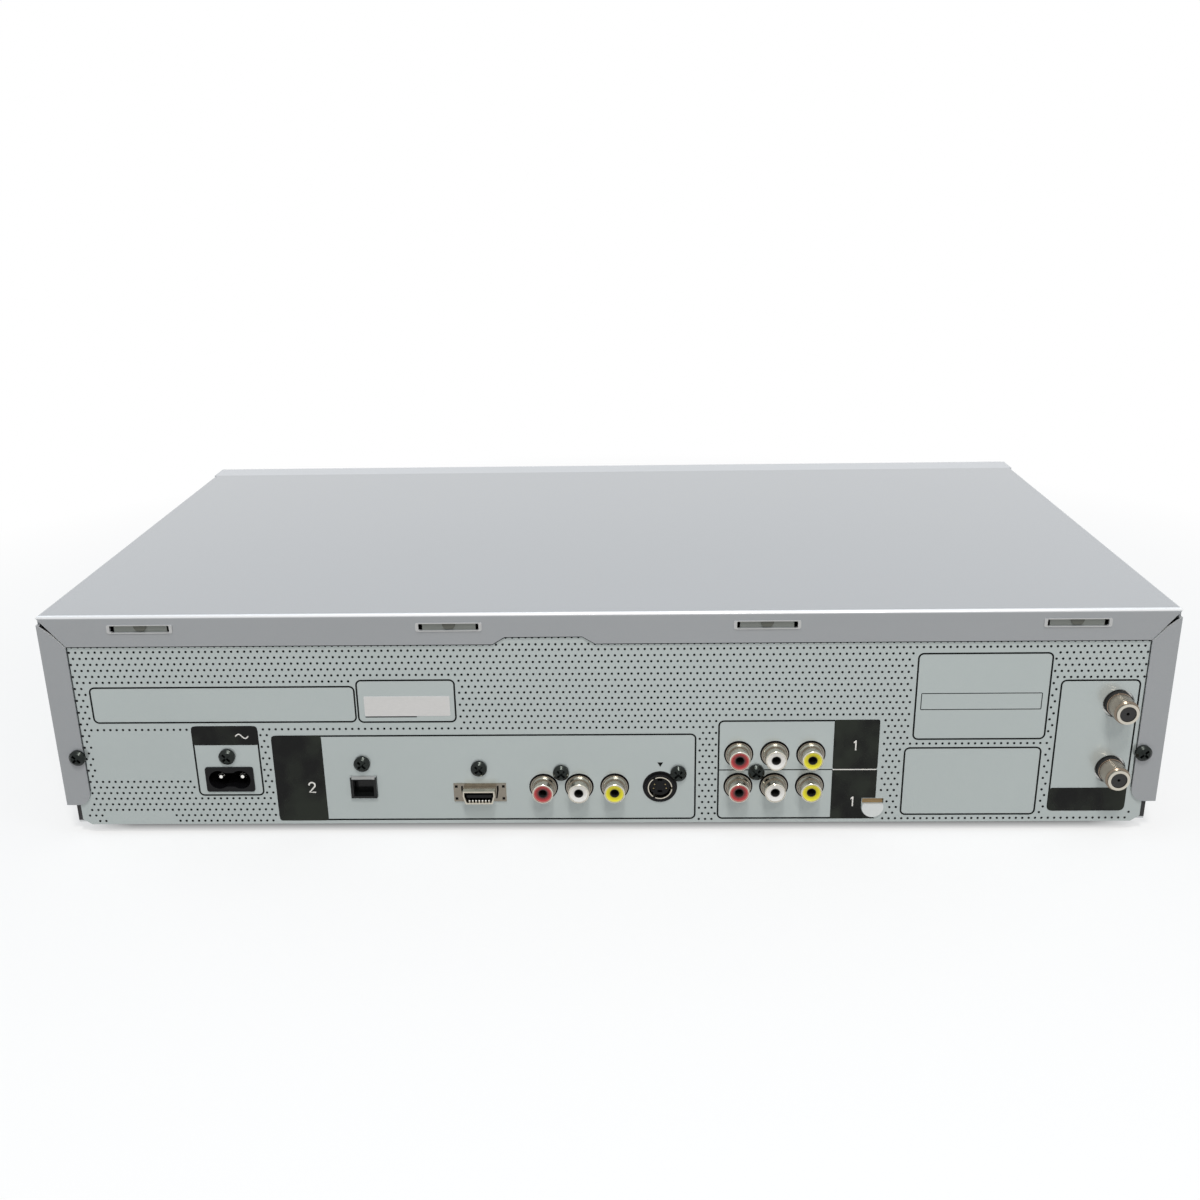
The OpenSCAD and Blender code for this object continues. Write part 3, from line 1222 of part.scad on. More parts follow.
module rca_shells() color([0.75, 0.73, 0.68]) {
    for (j = rear_jacks) at_jack(j, panel_y, true) jack_shell();
    for (j = front_jacks) at_jack(j, front_jack_y - pocket_t, false) jack_shell();
}

module rca_red_rings() color([0.75, 0.07, 0.1]) rings_of(0);
module rca_white_rings() color([0.92, 0.92, 0.9]) rings_of(1);
module rca_yellow_rings() color([0.93, 0.8, 0.08]) rings_of(2);

// The screw holes that go into the blocks behind the rear panel
module screw_pilots() {
    for (s = panel_screws) bar_y(s[0], s[1], screw_r + 0.1, inner_y - 7, inner_y + 1);
}

// The space behind the jack door, e larger all round
module pocket(e, y0, y1) block([door_x - door_w / 2 - e, y0, door_z - door_h / 2 - e],
    [door_x + door_w / 2 + e, y1, door_z + door_h / 2 + e]);

module jack_blocks() color([0.05, 0.05, 0.06]) {
    low = circuit_z;
    difference() {
        union() {
            block([trio_x - 1.5 * jack_pitch, inner_y - block_d, low], [trio_x + 1.5 * jack_pitch, inner_y, row_z + 9.4]);
            block([six_x - 1.5 * jack_pitch, inner_y - block_d, low], [six_x + 1.5 * jack_pitch, inner_y, upper_z + 6.5]);
            for (j = rear_jacks) bar_y(j[0], j[1], collar_r, inner_y - eps, panel_y);
        }
        screw_pilots();
    }
    // pocket of the front jacks behind the door
    difference() {
        union() {
            pocket(pocket_t, lower_in + seat_gap, front_jack_y);
            block([door_x - 1.5 * jack_pitch, front_jack_y - eps, door_z - 7],
                [door_x + 1.5 * jack_pitch, front_jack_y + 8, door_z + 7]);
        }
        pocket(0, lower_in, front_jack_y - pocket_t);
    }
    // S-video socket: collar and core with four contact holes
    difference() {
        union() {
            block([svideo_x - 10.6, inner_y - block_d, low], [svideo_x + 8.4, inner_y, svideo_z + 9]);
            bar_y(svideo_x, svideo_z, svideo_r, inner_y - eps, panel_y);
            bar_y(svideo_x, svideo_z, svideo_r - 0.9, inner_y - eps, panel_y + 0.9);
        }
        difference() {
            bar_y(svideo_x, svideo_z, 4.85, panel_y - 5, panel_y + 2);
            bar_y(svideo_x, svideo_z, 3.9, panel_y - 6, panel_y - 0.2);
        }
        for (p = [[-2.1, 0.85], [2.1, 0.85], [-2.5, -0.9], [2.5, -0.9]])
            bar_y(svideo_x + p[0], svideo_z + p[1], 0.5, panel_y - 4, panel_y + 2);
        for (z = [-2.1, 2.9]) translate([svideo_x, 0, svideo_z + z]) along_y(panel_y - 4, panel_y + 2)
            square([1.9, 0.9], center = true);
        screw_pilots();
    }
    // D-shaped connector: body and tongue
    difference() {
        union() {
            block([dterm_x - 11, inner_y - block_d, low], [dterm_x + 11, inner_y, dterm_z + 13.5]);
            block([dterm_x - 4.9, inner_y - eps, dterm_z - 0.5], [dterm_x + 4.9, panel_y + 4, dterm_z + 0.8]);
        }
        screw_pilots();
    }
}

module svideo_shield() color([0.78, 0.77, 0.74]) {
    difference() {
        bar_y(svideo_x, svideo_z, 4.8, panel_y - 5, panel_y + 1.2);
        bar_y(svideo_x, svideo_z, 4.4, panel_y - 6, panel_y + 2);
        // spring gaps
        for (a = [60, 180, 300]) translate([svideo_x, 0, svideo_z]) rotate([0, a, 0])
            block([3, panel_y - 1.5, -0.5], [6, panel_y + 2, 0.5]);
    }
}

module dterm_outline(e) {
    half_plan = [[6.3 + e, 2.8 + e], [6.3 + e, 0.6], [5.3 + e * 0.8, -2.8 - e]];
    polygon(concat(half_plan, [for (i = [2:-1:0]) [-half_plan[i][0], half_plan[i][1]]]));
}

module d_terminal_shell() color([0.76, 0.75, 0.72]) {
    translate([dterm_x, 0, dterm_z]) difference() {
        union() {
            along_y(panel_y, panel_y + 0.5) square([20.8, 7.9], center = true);
            along_y(panel_y + 0.5 - eps, panel_y + 5) dterm_outline(0);
        }
        along_y(panel_y - 1, panel_y + 6) dterm_outline(-0.6);
        for (x = [-9.3, 9.3], z = [-2.65, 2.65]) translate([x, 0, z]) along_y(panel_y - 1, panel_y + 2)
            square(1.1, center = true);
    }
}

module optical_jack() color([0.06, 0.06, 0.07]) {
    face = panel_y + 1.2;
    difference() {
        union() {
            block([optical_x - 5.15, inner_y - eps, optical_z - 4.6], [optical_x + 5.15, face, optical_z + 4.6]);
            block([optical_x - 5.7, inner_y - 13, circuit_z], [optical_x + 5.7, inner_y, optical_z + 12.4]);
        }
        block([optical_x - 4, inner_y - 10, optical_z - 3.7], [optical_x + 4, face + 1, optical_z + 3.4]);
        // bevel above the mouth
        translate([optical_x, face, optical_z + 3.7]) rotate([-45, 0, 0]) block([-4.6, -2, 0], [4.6, 2, 2]);
        bar_x(shutter_y, shutter_z, 0.45, optical_x - 4.6, optical_x + 4.6);
        screw_pilots();
    }
}

shutter_t = 0.8;
shutter_y = panel_y - 3.4;
shutter_z = optical_z + 2.7;

module optical_shutter() color([0.1, 0.1, 0.11]) {
    block([optical_x - 3.8, shutter_y - shutter_t / 2, optical_z - 3.5], [optical_x + 3.8, shutter_y + shutter_t / 2,
        shutter_z + 0.3]);
    bar_x(shutter_y, shutter_z, 0.4, optical_x - 4.4, optical_x + 4.4);
}

module inlet_cavity_outline() {
    for (s = [-1, 1]) translate([s * 4.3, 0]) circle(3.95);
    square([8.6, 6], center = true);
}

module ac_inlet() color([0.04, 0.04, 0.05]) {
    face = panel_y + 0.6;
    difference() {
        union() {
            translate([inlet_x, 0, inlet_z]) along_y(inner_y - eps, face) rounded(19, 10.5, 0.9);
            block([inlet_x - 12, inner_y - 18, power_z + board_t], [inlet_x + 12, inner_y, inlet_z + 12.4]);
        }
        translate([inlet_x, 0, inlet_z]) along_y(face - 13, face + 1) inlet_cavity_outline();
        screw_pilots();
    }
}

module ac_pins() color([0.8, 0.79, 0.76]) {
    face = panel_y + 0.6;
    for (s = [-1, 1]) translate([inlet_x + s * 4.3, face - 13, inlet_z]) rotate([-90, 0, 0]) {
        cylinder(r = 1.2, h = 9.5);
        translate([0, 0, 9.5 - eps]) cylinder(r1 = 1.2, r2 = 0.7, h = 0.8);
    }
}

// --- antenna connectors and boards ---

tuner_top = antenna_zs[1] + 12;

module tuner_can() color([0.74, 0.74, 0.73]) {
    y1 = inner_y - 0.2;
    difference() {
        block([tuner_x0, y1 - tuner_l, circuit_z], [tuner_x0 + tuner_w, y1, tuner_top]);
        // pressed fields in the lid
        for (y = [y1 - 34, y1 - 16]) translate([tuner_x0 + tuner_w / 2, y, tuner_top - 0.5]) linear_extrude(1) rounded(18, 12, 2);
    }
}

module f_connectors() color([0.76, 0.75, 0.72]) {
    y0 = inner_y - 0.2;
    y1 = rear_y + barrel_reach;
    lip_h = 0.9;
    chamfer = 0.6;
    for (z = antenna_zs) translate([antenna_x, 0, z]) {
        difference() {
            union() {
                bar_y(0, 0, barrel_r + 0.5, y0, panel_y + 1.4);
                bar_y(0, 0, barrel_r, y0, y1 - lip_h - chamfer);
                translate([0, y1 - lip_h - chamfer - eps, 0]) rotate([-90, 0, 0])
                    cylinder(r1 = barrel_r, r2 = barrel_r - 0.75, h = chamfer + eps);
                bar_y(0, 0, barrel_r - 0.6, y1 - lip_h, y1);
            }
            bar_y(0, 0, 3.1, y1 - 8, y1 + 1);
        }
        // insulator with the contact's hole
        difference() {
            bar_y(0, 0, 3, y1 - 8, y1 - 0.3);
            bar_y(0, 0, 0.6, y1 - 6, y1);
        }
    }
}

// A flat part on a board
module chip(x, y, w, l, h = 1.6, z = circuit_z) block([x - w / 2, y - l / 2, z - eps], [x + w / 2, y + l / 2, z + h]);

module main_board() color([0.16, 0.36, 0.2]) {
    difference() {
        union() {
            block([-frame_half + frame_t + 3, seam_y + 10, board_z], [rib_x - 4, inner_y - 40, circuit_z]);
            block([-frame_half + frame_t + 3, inner_y - 50, board_z], [108, inner_y - 1, circuit_z]);
            chip(deck_x - 15, seam_y + 60, 22, 22);
            chip(deck_x - 55, seam_y + 50, 14, 20);
            chip(deck_x + 25, inner_y - 30, 20, 14);
            chip(trio_x, inner_y - 30, 14, 14);
            chip(dterm_x + 10, inner_y - 27, 18, 18);
        }
        for (p = deck_posts) post(p[0], p[1], 7.6, board_z - 1, circuit_z + 1);
        boss_notches();
    }
}

// Corners of the boards that leave room for the cover screws' bosses
module boss_notches() {
    both_sides() block([cover_screw_x - 4.6, inner_y - 9.6, floor_z], [half_w, inner_y + 1, cover_screw_z]);
}

module power_board() color([0.66, 0.53, 0.32]) {
    y1 = inner_y - 1;
    z = power_z + board_t;
    sink_x = frame_half - frame_t - 20; // left side of the heat sink
    difference() {
        block([power_x0, y1 - 48, power_z], [frame_half - frame_t - 3, y1, z]);
        boss_notches();
    }
    for (i = [0:4]) block([sink_x + i * 3.4, y1 - 44, z - eps], [sink_x + 1.4 + i * 3.4, y1 - 18, z + 22]);
    block([sink_x, y1 - 32, z - eps], [sink_x + 15, y1 - 30, z + 22]);
    // fuse holder and relay
    chip(power_x0 + 12, y1 - 10, 18, 8, 8, z);
    chip(power_x0 + 12, y1 - 26, 12, 14, 10, z);
}

module transformer() color([0.85, 0.75, 0.25]) {
    x = power_x0 + 39;
    y = inner_y - 34;
    z = power_z + board_t;
    block([x - 14, y - 13, z], [x + 14, y + 12, z + 4]);
    block([x - 11, y - 10, z + 4 - eps], [x + 11, y + 9, z + 22]);
    block([x - 14, y - 13, z + 22 - eps], [x + 14, y + 12, z + 25]);
}

// A round capacitor with a rolled edge at its foot
module can_capacitor(x, y, r, h, z) translate([x, y, z]) rotate_extrude() polygon([
    [0, 0], [r, 0], [r, 2], [r - 0.4, 2.5], [r, 3], [r, h - 0.6], [r - 0.6, h], [0, h]
]);

module capacitors() color([0.12, 0.13, 0.2]) {
    z = power_z + board_t;
    can_capacitor(power_x0 + 12, inner_y - 41, 5.5, 26, z);
    for (i = [0:1]) can_capacitor(inlet_x + 17.4 + i * 9.6, inner_y - 10.5, 4.2, 16, z);
    for (i = [0:3]) can_capacitor(dterm_x - 6 + i * 14, inner_y - 43.5, 5, 20, circuit_z);
}

top_cover();
rear_panel();
bottom_plate();
main_frame();
front_panel();
display_window();
feet();
rear_screws();
ac_inlet();
ac_pins();
optical_jack();
optical_shutter();
d_terminal_shell();
jack_blocks();
rca_shells();
rca_red_rings();
rca_white_rings();
rca_yellow_rings();
svideo_shield();
tuner_can();
f_connectors();
main_board();
power_board();
front_board();
transformer();
capacitors();
deck_plate();
lower_drum();
upper_drum();
capstan();
pinch_arm();
pinch_roller();
supply_reel();
takeup_reel();
cam_gear();
tape_heads();
lift_frame();
holder_carriage();
cassette_holder();
cassette_flap();
loader_frame();
disc_tray();
tray_bezel();
drive_gear();
motor_pinion();
tray_motor();
traverse_deck();
turntable();
pickup_sled();
clamp_bridge();
clamp_puck();
jack_door();
power_button();
eject_button();
open_close_button();
play_button();
stop_button();
record_button();
wind_rocker();
channel_rocker();
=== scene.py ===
import math
import bpy
import bmesh
from mathutils import Matrix, Vector


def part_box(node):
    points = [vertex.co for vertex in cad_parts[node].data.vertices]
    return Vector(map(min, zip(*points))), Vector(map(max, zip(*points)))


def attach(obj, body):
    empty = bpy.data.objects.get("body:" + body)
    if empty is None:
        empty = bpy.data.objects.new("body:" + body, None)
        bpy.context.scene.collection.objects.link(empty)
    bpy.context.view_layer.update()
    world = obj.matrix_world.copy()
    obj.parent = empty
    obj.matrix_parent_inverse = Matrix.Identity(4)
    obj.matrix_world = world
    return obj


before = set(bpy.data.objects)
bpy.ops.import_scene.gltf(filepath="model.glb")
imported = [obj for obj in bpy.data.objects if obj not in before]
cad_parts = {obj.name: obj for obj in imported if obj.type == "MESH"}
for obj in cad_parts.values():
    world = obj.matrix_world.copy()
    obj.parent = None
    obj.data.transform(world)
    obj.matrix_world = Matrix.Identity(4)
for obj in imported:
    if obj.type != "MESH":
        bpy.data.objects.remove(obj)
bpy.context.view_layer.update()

MM = 0.001

# --- places on the part, mm -------------------------------------------------

REAR_FACE = 116.7  # outer face of the rear panel
REAR_EDGE = 117.6  # rear face of the cover
TOP = 94.0  # top of the cover
FLANGE_EDGE = 81.4  # lower edge of the cover's rear flange
SIDE_FLANGE = 205  # x, inner edge of the cover's side flanges
NOTCH = (3.15, 7.95, 37.25, 42.05)  # x where that edge starts to rise, is up, starts to fall, is down
NOTCH_RISE = 2.9
HOOK_FOOT = 84.5  # z, lower end of the tongues behind the cover's hook slots
UPPER_FACE = -125.4  # front panel above the step
LOWER_FACE = -123.8  # front panel below the step
HALF_WIDTH = 215.0

# front to back axes through the jacks: x, z
JACK_PITCH = 14
JACK_ROWS = [(10.4, 20.6), (-66, 20.6), (-66, 34.4), (-124, 25)]
ANTENNA_AXES = [(-196, 27.3), (-196, 55)]
TERMINAL = (49.6, 18.4)
SVIDEO = (-21.4, 20.4)
OPTICAL_BEVEL = 24.2  # z, lower edge of the bevel over the optical mouth

# inserts of the phono jacks, distances from their axis where each colour fades in: painted shade in
# the bore and throat, a painted highlight at the edge
RING_BORE = (1.72, 1.95)
RING_THROAT = (2.1, 3.0)
RING_EDGE = (3.1, 3.35)
# the gap round a phono jack is drawn as painted shade
JACK_GAP = (5.1, 5.72)  # radii of the gap round a phono jack

# antenna barrels: how far behind the cover the neck and the lip start, then the thread and radii
BARREL_NECK = 7.3
BARREL_LIP = 8.05
THREAD_PITCH = 0.79
THREAD_ROOT = 4.5
BARREL_RADIUS = 4.85
INSULATOR_RADIUS = 3.05

# --- colours ----------------------------------------------------------------

COVER_SILVER = (0.335, 0.353, 0.376)
FRONT_SILVER = (0.49, 0.51, 0.54)
PANEL_SILVER = (0.485, 0.54, 0.545)
# painted highlights on the cover, on its raised rims and along its folds
RIM_HIGHLIGHT = (0.5, 0.51, 0.52)
FOLD_HIGHLIGHT = (0.82, 0.83, 0.85)
BLACK = (0.014, 0.014, 0.015)


# --- finishes ---------------------------------------------------------------


class Value:
    """A number that varies over a surface. Arithmetic on it adds Math nodes."""

    def __init__(self, tree, socket):
        self.tree = tree
        self.socket = socket

    def math(self, operation, *numbers):
        return self.tree.node(
            "ShaderNodeMath", {"operation": operation}, dict(enumerate(numbers))
        )

    def __add__(self, other):
        return self.math("ADD", self, other)

    __radd__ = __add__

    def __sub__(self, other):
        return self.math("SUBTRACT", self, other)

    def __rsub__(self, other):
        return self.math("SUBTRACT", other, self)

    def __mul__(self, other):
        return self.math("MULTIPLY", self, other)

    __rmul__ = __mul__

    def above(self, edge):
        return self.math("GREATER_THAN", self, edge)

    def below(self, edge):
        return self.math("LESS_THAN", self, edge)

    def spread(self, low, high):
        """0 at low, 1 at high, straight between them."""
        return self.tree.node(
            "ShaderNodeMapRange", {}, {"Value": self, "From Min": low, "From Max": high}
        )


class NodeTree:
    """Adds nodes to a tree, each with its settings, values and links."""

    def __init__(self, tree):
        self.tree = tree

    def node(self, kind, settings=None, inputs=None, output=0):
        made = self.tree.nodes.new(kind)
        for key, setting in (settings or {}).items():
            setattr(made, key, setting)
        for key, value in (inputs or {}).items():
            self.put(made.inputs[key], value)
        return Value(self, made.outputs[output])

    def put(self, socket, value):
        if isinstance(value, Value):
            self.tree.links.new(value.socket, socket)
        else:
            socket.default_value = value

    def background_rays(self):
        """1 for the rays that show the background, 0 for those that light things."""
        path = [
            self.node("ShaderNodeLightPath", output=f"Is {kind} Ray")
            for kind in ("Camera", "Glossy", "Transmission")
        ]
        return path[0].math("MAXIMUM", path[0], path[1].math("MAXIMUM", path[1], path[2]))


class Finish(NodeTree):
    """One procedural material. Its place is the part's own frame, in mm."""

    def __init__(self, name, colour, rough, **fixed):
        self.material = bpy.data.materials.new(name)
        self.material.use_nodes = True
        self.material.diffuse_color = (*colour, 1)
        super().__init__(self.material.node_tree)
        self.shader = self.tree.nodes["Principled BSDF"]
        self.set("Base Color", (*colour, 1))
        self.set("Roughness", rough)
        for socket, amount in fixed.items():
            self.set(socket.replace("_", " ").title().replace("Ior", "IOR"), amount)
        here = self.node("ShaderNodeTexCoord", output="Object")
        self.place = self.vector("SCALE", {0: here, "Scale": 1000.0})

    def set(self, socket, value):
        self.put(self.shader.inputs[socket], value)

    def vector(self, operation, inputs, output="Vector"):
        return self.node("ShaderNodeVectorMath", {"operation": operation}, inputs, output)

    def axis(self, letter):
        return self.node("ShaderNodeSeparateXYZ", {}, {"Vector": self.place}, letter)

    def facing(self, letter):
        """How far the surface faces along an axis, from -1 to 1."""
        normal = self.node("ShaderNodeTexCoord", output="Normal")
        return self.node("ShaderNodeSeparateXYZ", {}, {"Vector": normal}, letter)

    def stretched(self, x, y, z):
        """The place with each axis scaled, for grain that runs one way."""
        return self.vector("MULTIPLY", {0: self.place, 1: (x, y, z)})

    def from_axis(self, x, z):
        """Distance from a line that runs front to back through x and z."""
        offset = self.vector("SUBTRACT", {0: self.place, 1: (x, 0, z)})
        level = self.vector("MULTIPLY", {0: offset, 1: (1, 0, 1)})
        return self.vector("LENGTH", {0: level}, "Value")

    def from_nearest(self, axes):
        nearest = self.from_axis(*axes[0])
        for axis in axes[1:]:
            nearest = nearest.math("MINIMUM", nearest, self.from_axis(*axis))
        return nearest

    def noise(self, size, detail=2.0, place=None):
        return self.node(
            "ShaderNodeTexNoise",
            {},
            {"Vector": place or self.place, "Scale": 1 / size, "Detail": detail},
        )

    def cells(self, size, place=None, feature="F1", output="Distance"):
        return self.node(
            "ShaderNodeTexVoronoi",
            {"feature": feature},
            {"Vector": place or self.place, "Scale": 1 / size},
            output,
        )

    def mix(self, share, first, second):
        inputs = {0: share, 6: self.rgba(first), 7: self.rgba(second)}
        return self.node("ShaderNodeMix", {"data_type": "RGBA"}, inputs, 2)

    def rgba(self, colour):
        return colour if isinstance(colour, Value) else (*colour[:3], 1)

    def bump(self, height, depth, under=None):
        inputs = {"Height": height, "Distance": depth * MM, "Strength": 1.0}
        if under:
            inputs["Normal"] = under
        made = self.node("ShaderNodeBump", {}, inputs)
        self.set("Normal", made)
        return made


def shade(colour, factor):
    return tuple(min(1.0, c * factor) for c in colour)


def satin_paint(name, colour, rough, metallic=0.35, rims=None):
    """Silver paint with fine flakes. With rims, the place in Y behind which rims stand
    proud of the sheet, a painted highlight makes it paler there and along the folds."""
    paint = Finish(name, colour, rough, metallic=metallic, coat_weight=0.8, coat_roughness=0.1)
    flakes = paint.noise(0.35, 1.0)
    clouds = paint.noise(70, 2.0)
    share = flakes * 0.5 + clouds * 0.5
    cast = paint.mix(share, shade(colour, 0.93), shade(colour, 1.07))
    if rims:
        # painted highlight on the raised rims
        cast = paint.mix(paint.axis("Y").above(rims), cast, RIM_HIGHLIGHT)
        # painted highlight along the folds, where the sheet turns from upright to level
        upward = paint.facing("Z")
        fold = upward.spread(0.2, 0.4) * (1 - upward.spread(0.9, 0.98))
        cast = paint.mix(fold * 0.85, cast, FOLD_HIGHLIGHT)
    paint.set("Base Color", cast)
    paint.set("Roughness", rough - 0.04 + clouds * 0.08)
    paint.bump(paint.noise(0.9, 2.0), 0.006)
    return paint


def panel_silver():
    """The rear panel's semi-gloss silver print; pressed forms carry painted shade or a painted
    highlight.
    """
    coat = Finish("panel_silver", PANEL_SILVER, 0.25, metallic=0.3)
    clouds = coat.noise(60, 2.0)
    cast = coat.mix(clouds, shade(PANEL_SILVER, 0.96), shade(PANEL_SILVER, 1.04))
    # the tongues behind the hook slots are duller and carry painted shade, their dimples darker
    # painted shade; the lanced tongue carries a painted highlight
    high = coat.axis("Z").above(HOOK_FOOT)
    cast = coat.mix(high * 0.85, cast, (0.21, 0.22, 0.20))
    proud = coat.axis("Y").above(REAR_FACE + 0.1)
    cast = coat.mix(proud, cast, (0.72, 0.75, 0.76))
    cast = coat.mix(proud * high, cast, (0.11, 0.115, 0.10))
    coat.set("Base Color", cast)
    coat.set("Roughness", 0.19 + clouds * 0.07 + high * 0.2)
    coat.bump(coat.noise(0.8, 1.0), 0.0006)
    return coat


def ink(name, colour, rough):
    """Screen ink, slightly uneven."""
    made = Finish(name, colour, rough, specular_ior_level=0.1)
    patch = made.noise(1.5, 3.0)
    made.set("Base Color", made.mix(patch, shade(colour, 0.85), shade(colour, 1.15)))
    made.set("Roughness", rough - 0.05 + patch * 0.1)
    return made


def label_black():
    """Black screened label, satin, with soft blotches of a greener and a duller black."""
    colour = (0.0075, 0.0095, 0.007)
    label = Finish("label_black", colour, 0.3, specular_ior_level=0.2)
    mottle = label.noise(11, 2.0, label.stretched(1, 1, 0.8)).spread(0.38, 0.62)
    label.set("Base Color", label.mix(mottle, shade(colour, 0.15), shade(colour, 2.1)))
    label.set("Roughness", 0.16 + mottle * 0.22)
    return label


def paper():
    """Sticker paper with fine fibres."""
    colour = (0.74, 0.745, 0.76)
    sheet = Finish("sticker_paper", colour, 0.45)
    fibres = sheet.noise(0.5, 3.0, sheet.stretched(0.4, 1, 1))
    sheet.set("Base Color", sheet.mix(fibres, shade(colour, 0.94), shade(colour, 1.04)))
    sheet.bump(fibres, 0.01)
    return sheet


def zinc(name, colour=(0.52, 0.53, 0.54), rough=0.34):
    """Zinc coated sheet: fine spangle and rolling grain."""
    sheet = Finish(name, colour, rough, metallic=0.9)
    spangle = sheet.cells(4.0, output="Color")
    brightness = sheet.node("ShaderNodeSeparateColor", {}, {"Color": spangle}, "Red")
    grain = sheet.noise(0.6, 3.0, sheet.stretched(0.05, 1, 1))
    share = brightness * 0.5 + grain * 0.5
    sheet.set("Base Color", sheet.mix(share, shade(colour, 0.85), shade(colour, 1.12)))
    sheet.set("Roughness", rough - 0.06 + share * 0.14)
    sheet.bump(grain, 0.004)
    return sheet


def nickel(name, colour=(0.66, 0.62, 0.54), rough=0.18, seams=()):
    """Warm nickel plate with drawing marks, with painted shade where one step meets the next."""
    plate = Finish(name, colour, rough, metallic=1.0)
    tarnish = plate.noise(2.2, 3.0)
    marks = plate.noise(0.25, 2.0, plate.stretched(1, 0.15, 1))
    cast = plate.mix(tarnish, shade(colour, 0.8), shade(colour, 1.12))
    depth = plate.axis("Y")
    # painted shade where one step meets the next
    for seam in seams:
        near = (depth - seam).math("ABSOLUTE", depth - seam)
        cast = plate.mix((1 - near.spread(0.05, 0.35)) * 0.7, cast, (0.12, 0.10, 0.08))
    plate.set("Base Color", cast)
    plate.set("Roughness", rough - 0.05 + tarnish * 0.08 + marks * 0.06)
    plate.bump(marks, 0.003)
    return plate


def threaded_nickel():
    """Barrels with a fine thread, black at the insulators, with painted black shade round their foot
    in the panel's holes and painted shade on the neck before the lip.
    """
    plate = Finish("barrel_nickel", (0.5, 0.47, 0.42), 0.24)
    tarnish = plate.noise(2.5, 3.0)
    depth = plate.axis("Y")
    turns = depth * (2 * math.pi / THREAD_PITCH)
    from_axis = plate.from_nearest(ANTENNA_AXES)
    thread = turns.math("SINE", turns) * from_axis.above(THREAD_ROOT)
    lip = depth.above(REAR_EDGE + BARREL_LIP)
    cast = plate.mix(tarnish, (0.42, 0.35, 0.29), (0.60, 0.52, 0.44))
    cast = plate.mix(lip, cast, (0.58, 0.545, 0.47))
    # painted shade on the neck before the lip
    neck = depth.above(REAR_EDGE + BARREL_NECK) * (1 - lip)
    cast = plate.mix(neck, cast, (0.22, 0.18, 0.14))
    # painted black shade round the foot, in the panel's hole
    collar = depth.below(REAR_FACE + 1.5) * from_axis.above(BARREL_RADIUS)
    insulator = from_axis.below(INSULATOR_RADIUS)
    black = insulator.math("MAXIMUM", insulator, collar)
    plate.set("Base Color", plate.mix(black, cast, (0.012, 0.012, 0.012)))
    plate.set("Metallic", 1 - black)
    plate.set("Roughness", 0.14 + tarnish * 0.1 + black * 0.4)
    plate.bump(thread, 0.012)
    return plate


def turned_aluminium():
    """Turned and ground aluminium with fine rings round a level axis."""
    metal = Finish("turned_aluminium", (0.80, 0.80, 0.81), 0.2, metallic=1.0)
    rings = metal.noise(0.22, 2.0, metal.stretched(0.03, 0.03, 1))
    metal.set("Base Color", metal.mix(rings, (0.70, 0.70, 0.71), (0.86, 0.86, 0.87)))
    metal.set("Roughness", 0.15 + rings * 0.12)
    metal.bump(rings, 0.003)
    return metal


def moulding(name, colour, rough, grain=0.45, depth=0.012, **fixed):
    """Moulded plastic with a spark eroded grain and faint flow clouds."""
    plastic = Finish(name, colour, rough, **fixed)
    texture = plastic.noise(grain, 2.0)
    flow = plastic.noise(35, 2.0)
    plastic.set(
        "Base Color", plastic.mix(flow, shade(colour, 0.9), shade(colour, 1.1))
    )
    plastic.set("Roughness", rough - 0.05 + texture * 0.06 + flow * 0.04)
    plastic.bump(texture, depth)
    return plastic


def optical_moulding():
    """Polished black plastic of the optical jack, with a painted highlight along the bevel of its
    mouth.
    """
    plastic = Finish("optical_black", (0.004, 0.005, 0.005), 0.15, specular_ior_level=0.28)
    flow = plastic.noise(3, 2.0)
    dark = plastic.mix(flow, (0.003, 0.004, 0.004), (0.008, 0.009, 0.009))
    # painted highlight on the upward facing bevel over the mouth
    bevel = plastic.facing("Z").above(0.25) * plastic.axis("Z").above(OPTICAL_BEVEL)
    plastic.set("Base Color", plastic.mix(bevel, dark, (0.32, 0.33, 0.33)))
    plastic.set("Roughness", 0.12 + flow * 0.1)
    return plastic


def jack_colour(name, colour, column, throat, edge):
    """Coloured insert of the phono jacks, with painted shade in its throat, a painted highlight on
    its edge and painted black shade in its bore.
    """
    plastic = Finish(name, colour, 0.28, coat_weight=0.15)
    flow = plastic.noise(3, 2.0)
    cast = plastic.mix(flow, shade(colour, 0.88), shade(colour, 1.08))
    axes = [(x + JACK_PITCH * (1 - column), z) for x, z in JACK_ROWS]
    away = plastic.from_nearest(axes)
    # painted shade in the throat
    cast = plastic.mix(1 - away.spread(*RING_THROAT), cast, shade(colour, throat))
    # painted highlight on the edge
    cast = plastic.mix(away.spread(*RING_EDGE) * 0.7, cast, edge)
    # painted black shade in the bore
    bore = 1 - away.spread(*RING_BORE)
    plastic.set("Base Color", plastic.mix(bore, cast, (0.004, 0.004, 0.004)))
    plastic.set("Roughness", 0.24 + flow * 0.08 + bore * 0.5)
    return plastic


def circuit(name, mask, bare):
    """Circuit board: lacquer over copper tracks, with tinned spots."""
    board = Finish(name, mask, 0.35)
    tracks = board.noise(2.6, 0.0).spread(0.47, 0.53)
    across = board.noise(9, 1.0, board.stretched(1, 0.12, 1)).above(0.56)
    spots = board.cells(3.2).below(0.16)
    tracked = board.mix(tracks * 0.5 + across * 0.5, mask, shade(mask, 1.55))
    board.set("Base Color", board.mix(spots, tracked, bare))
    board.set("Roughness", 0.38 - spots * 0.14)
    board.set("Metallic", spots * 0.8)
    board.bump(tracks, 0.02)
    return board


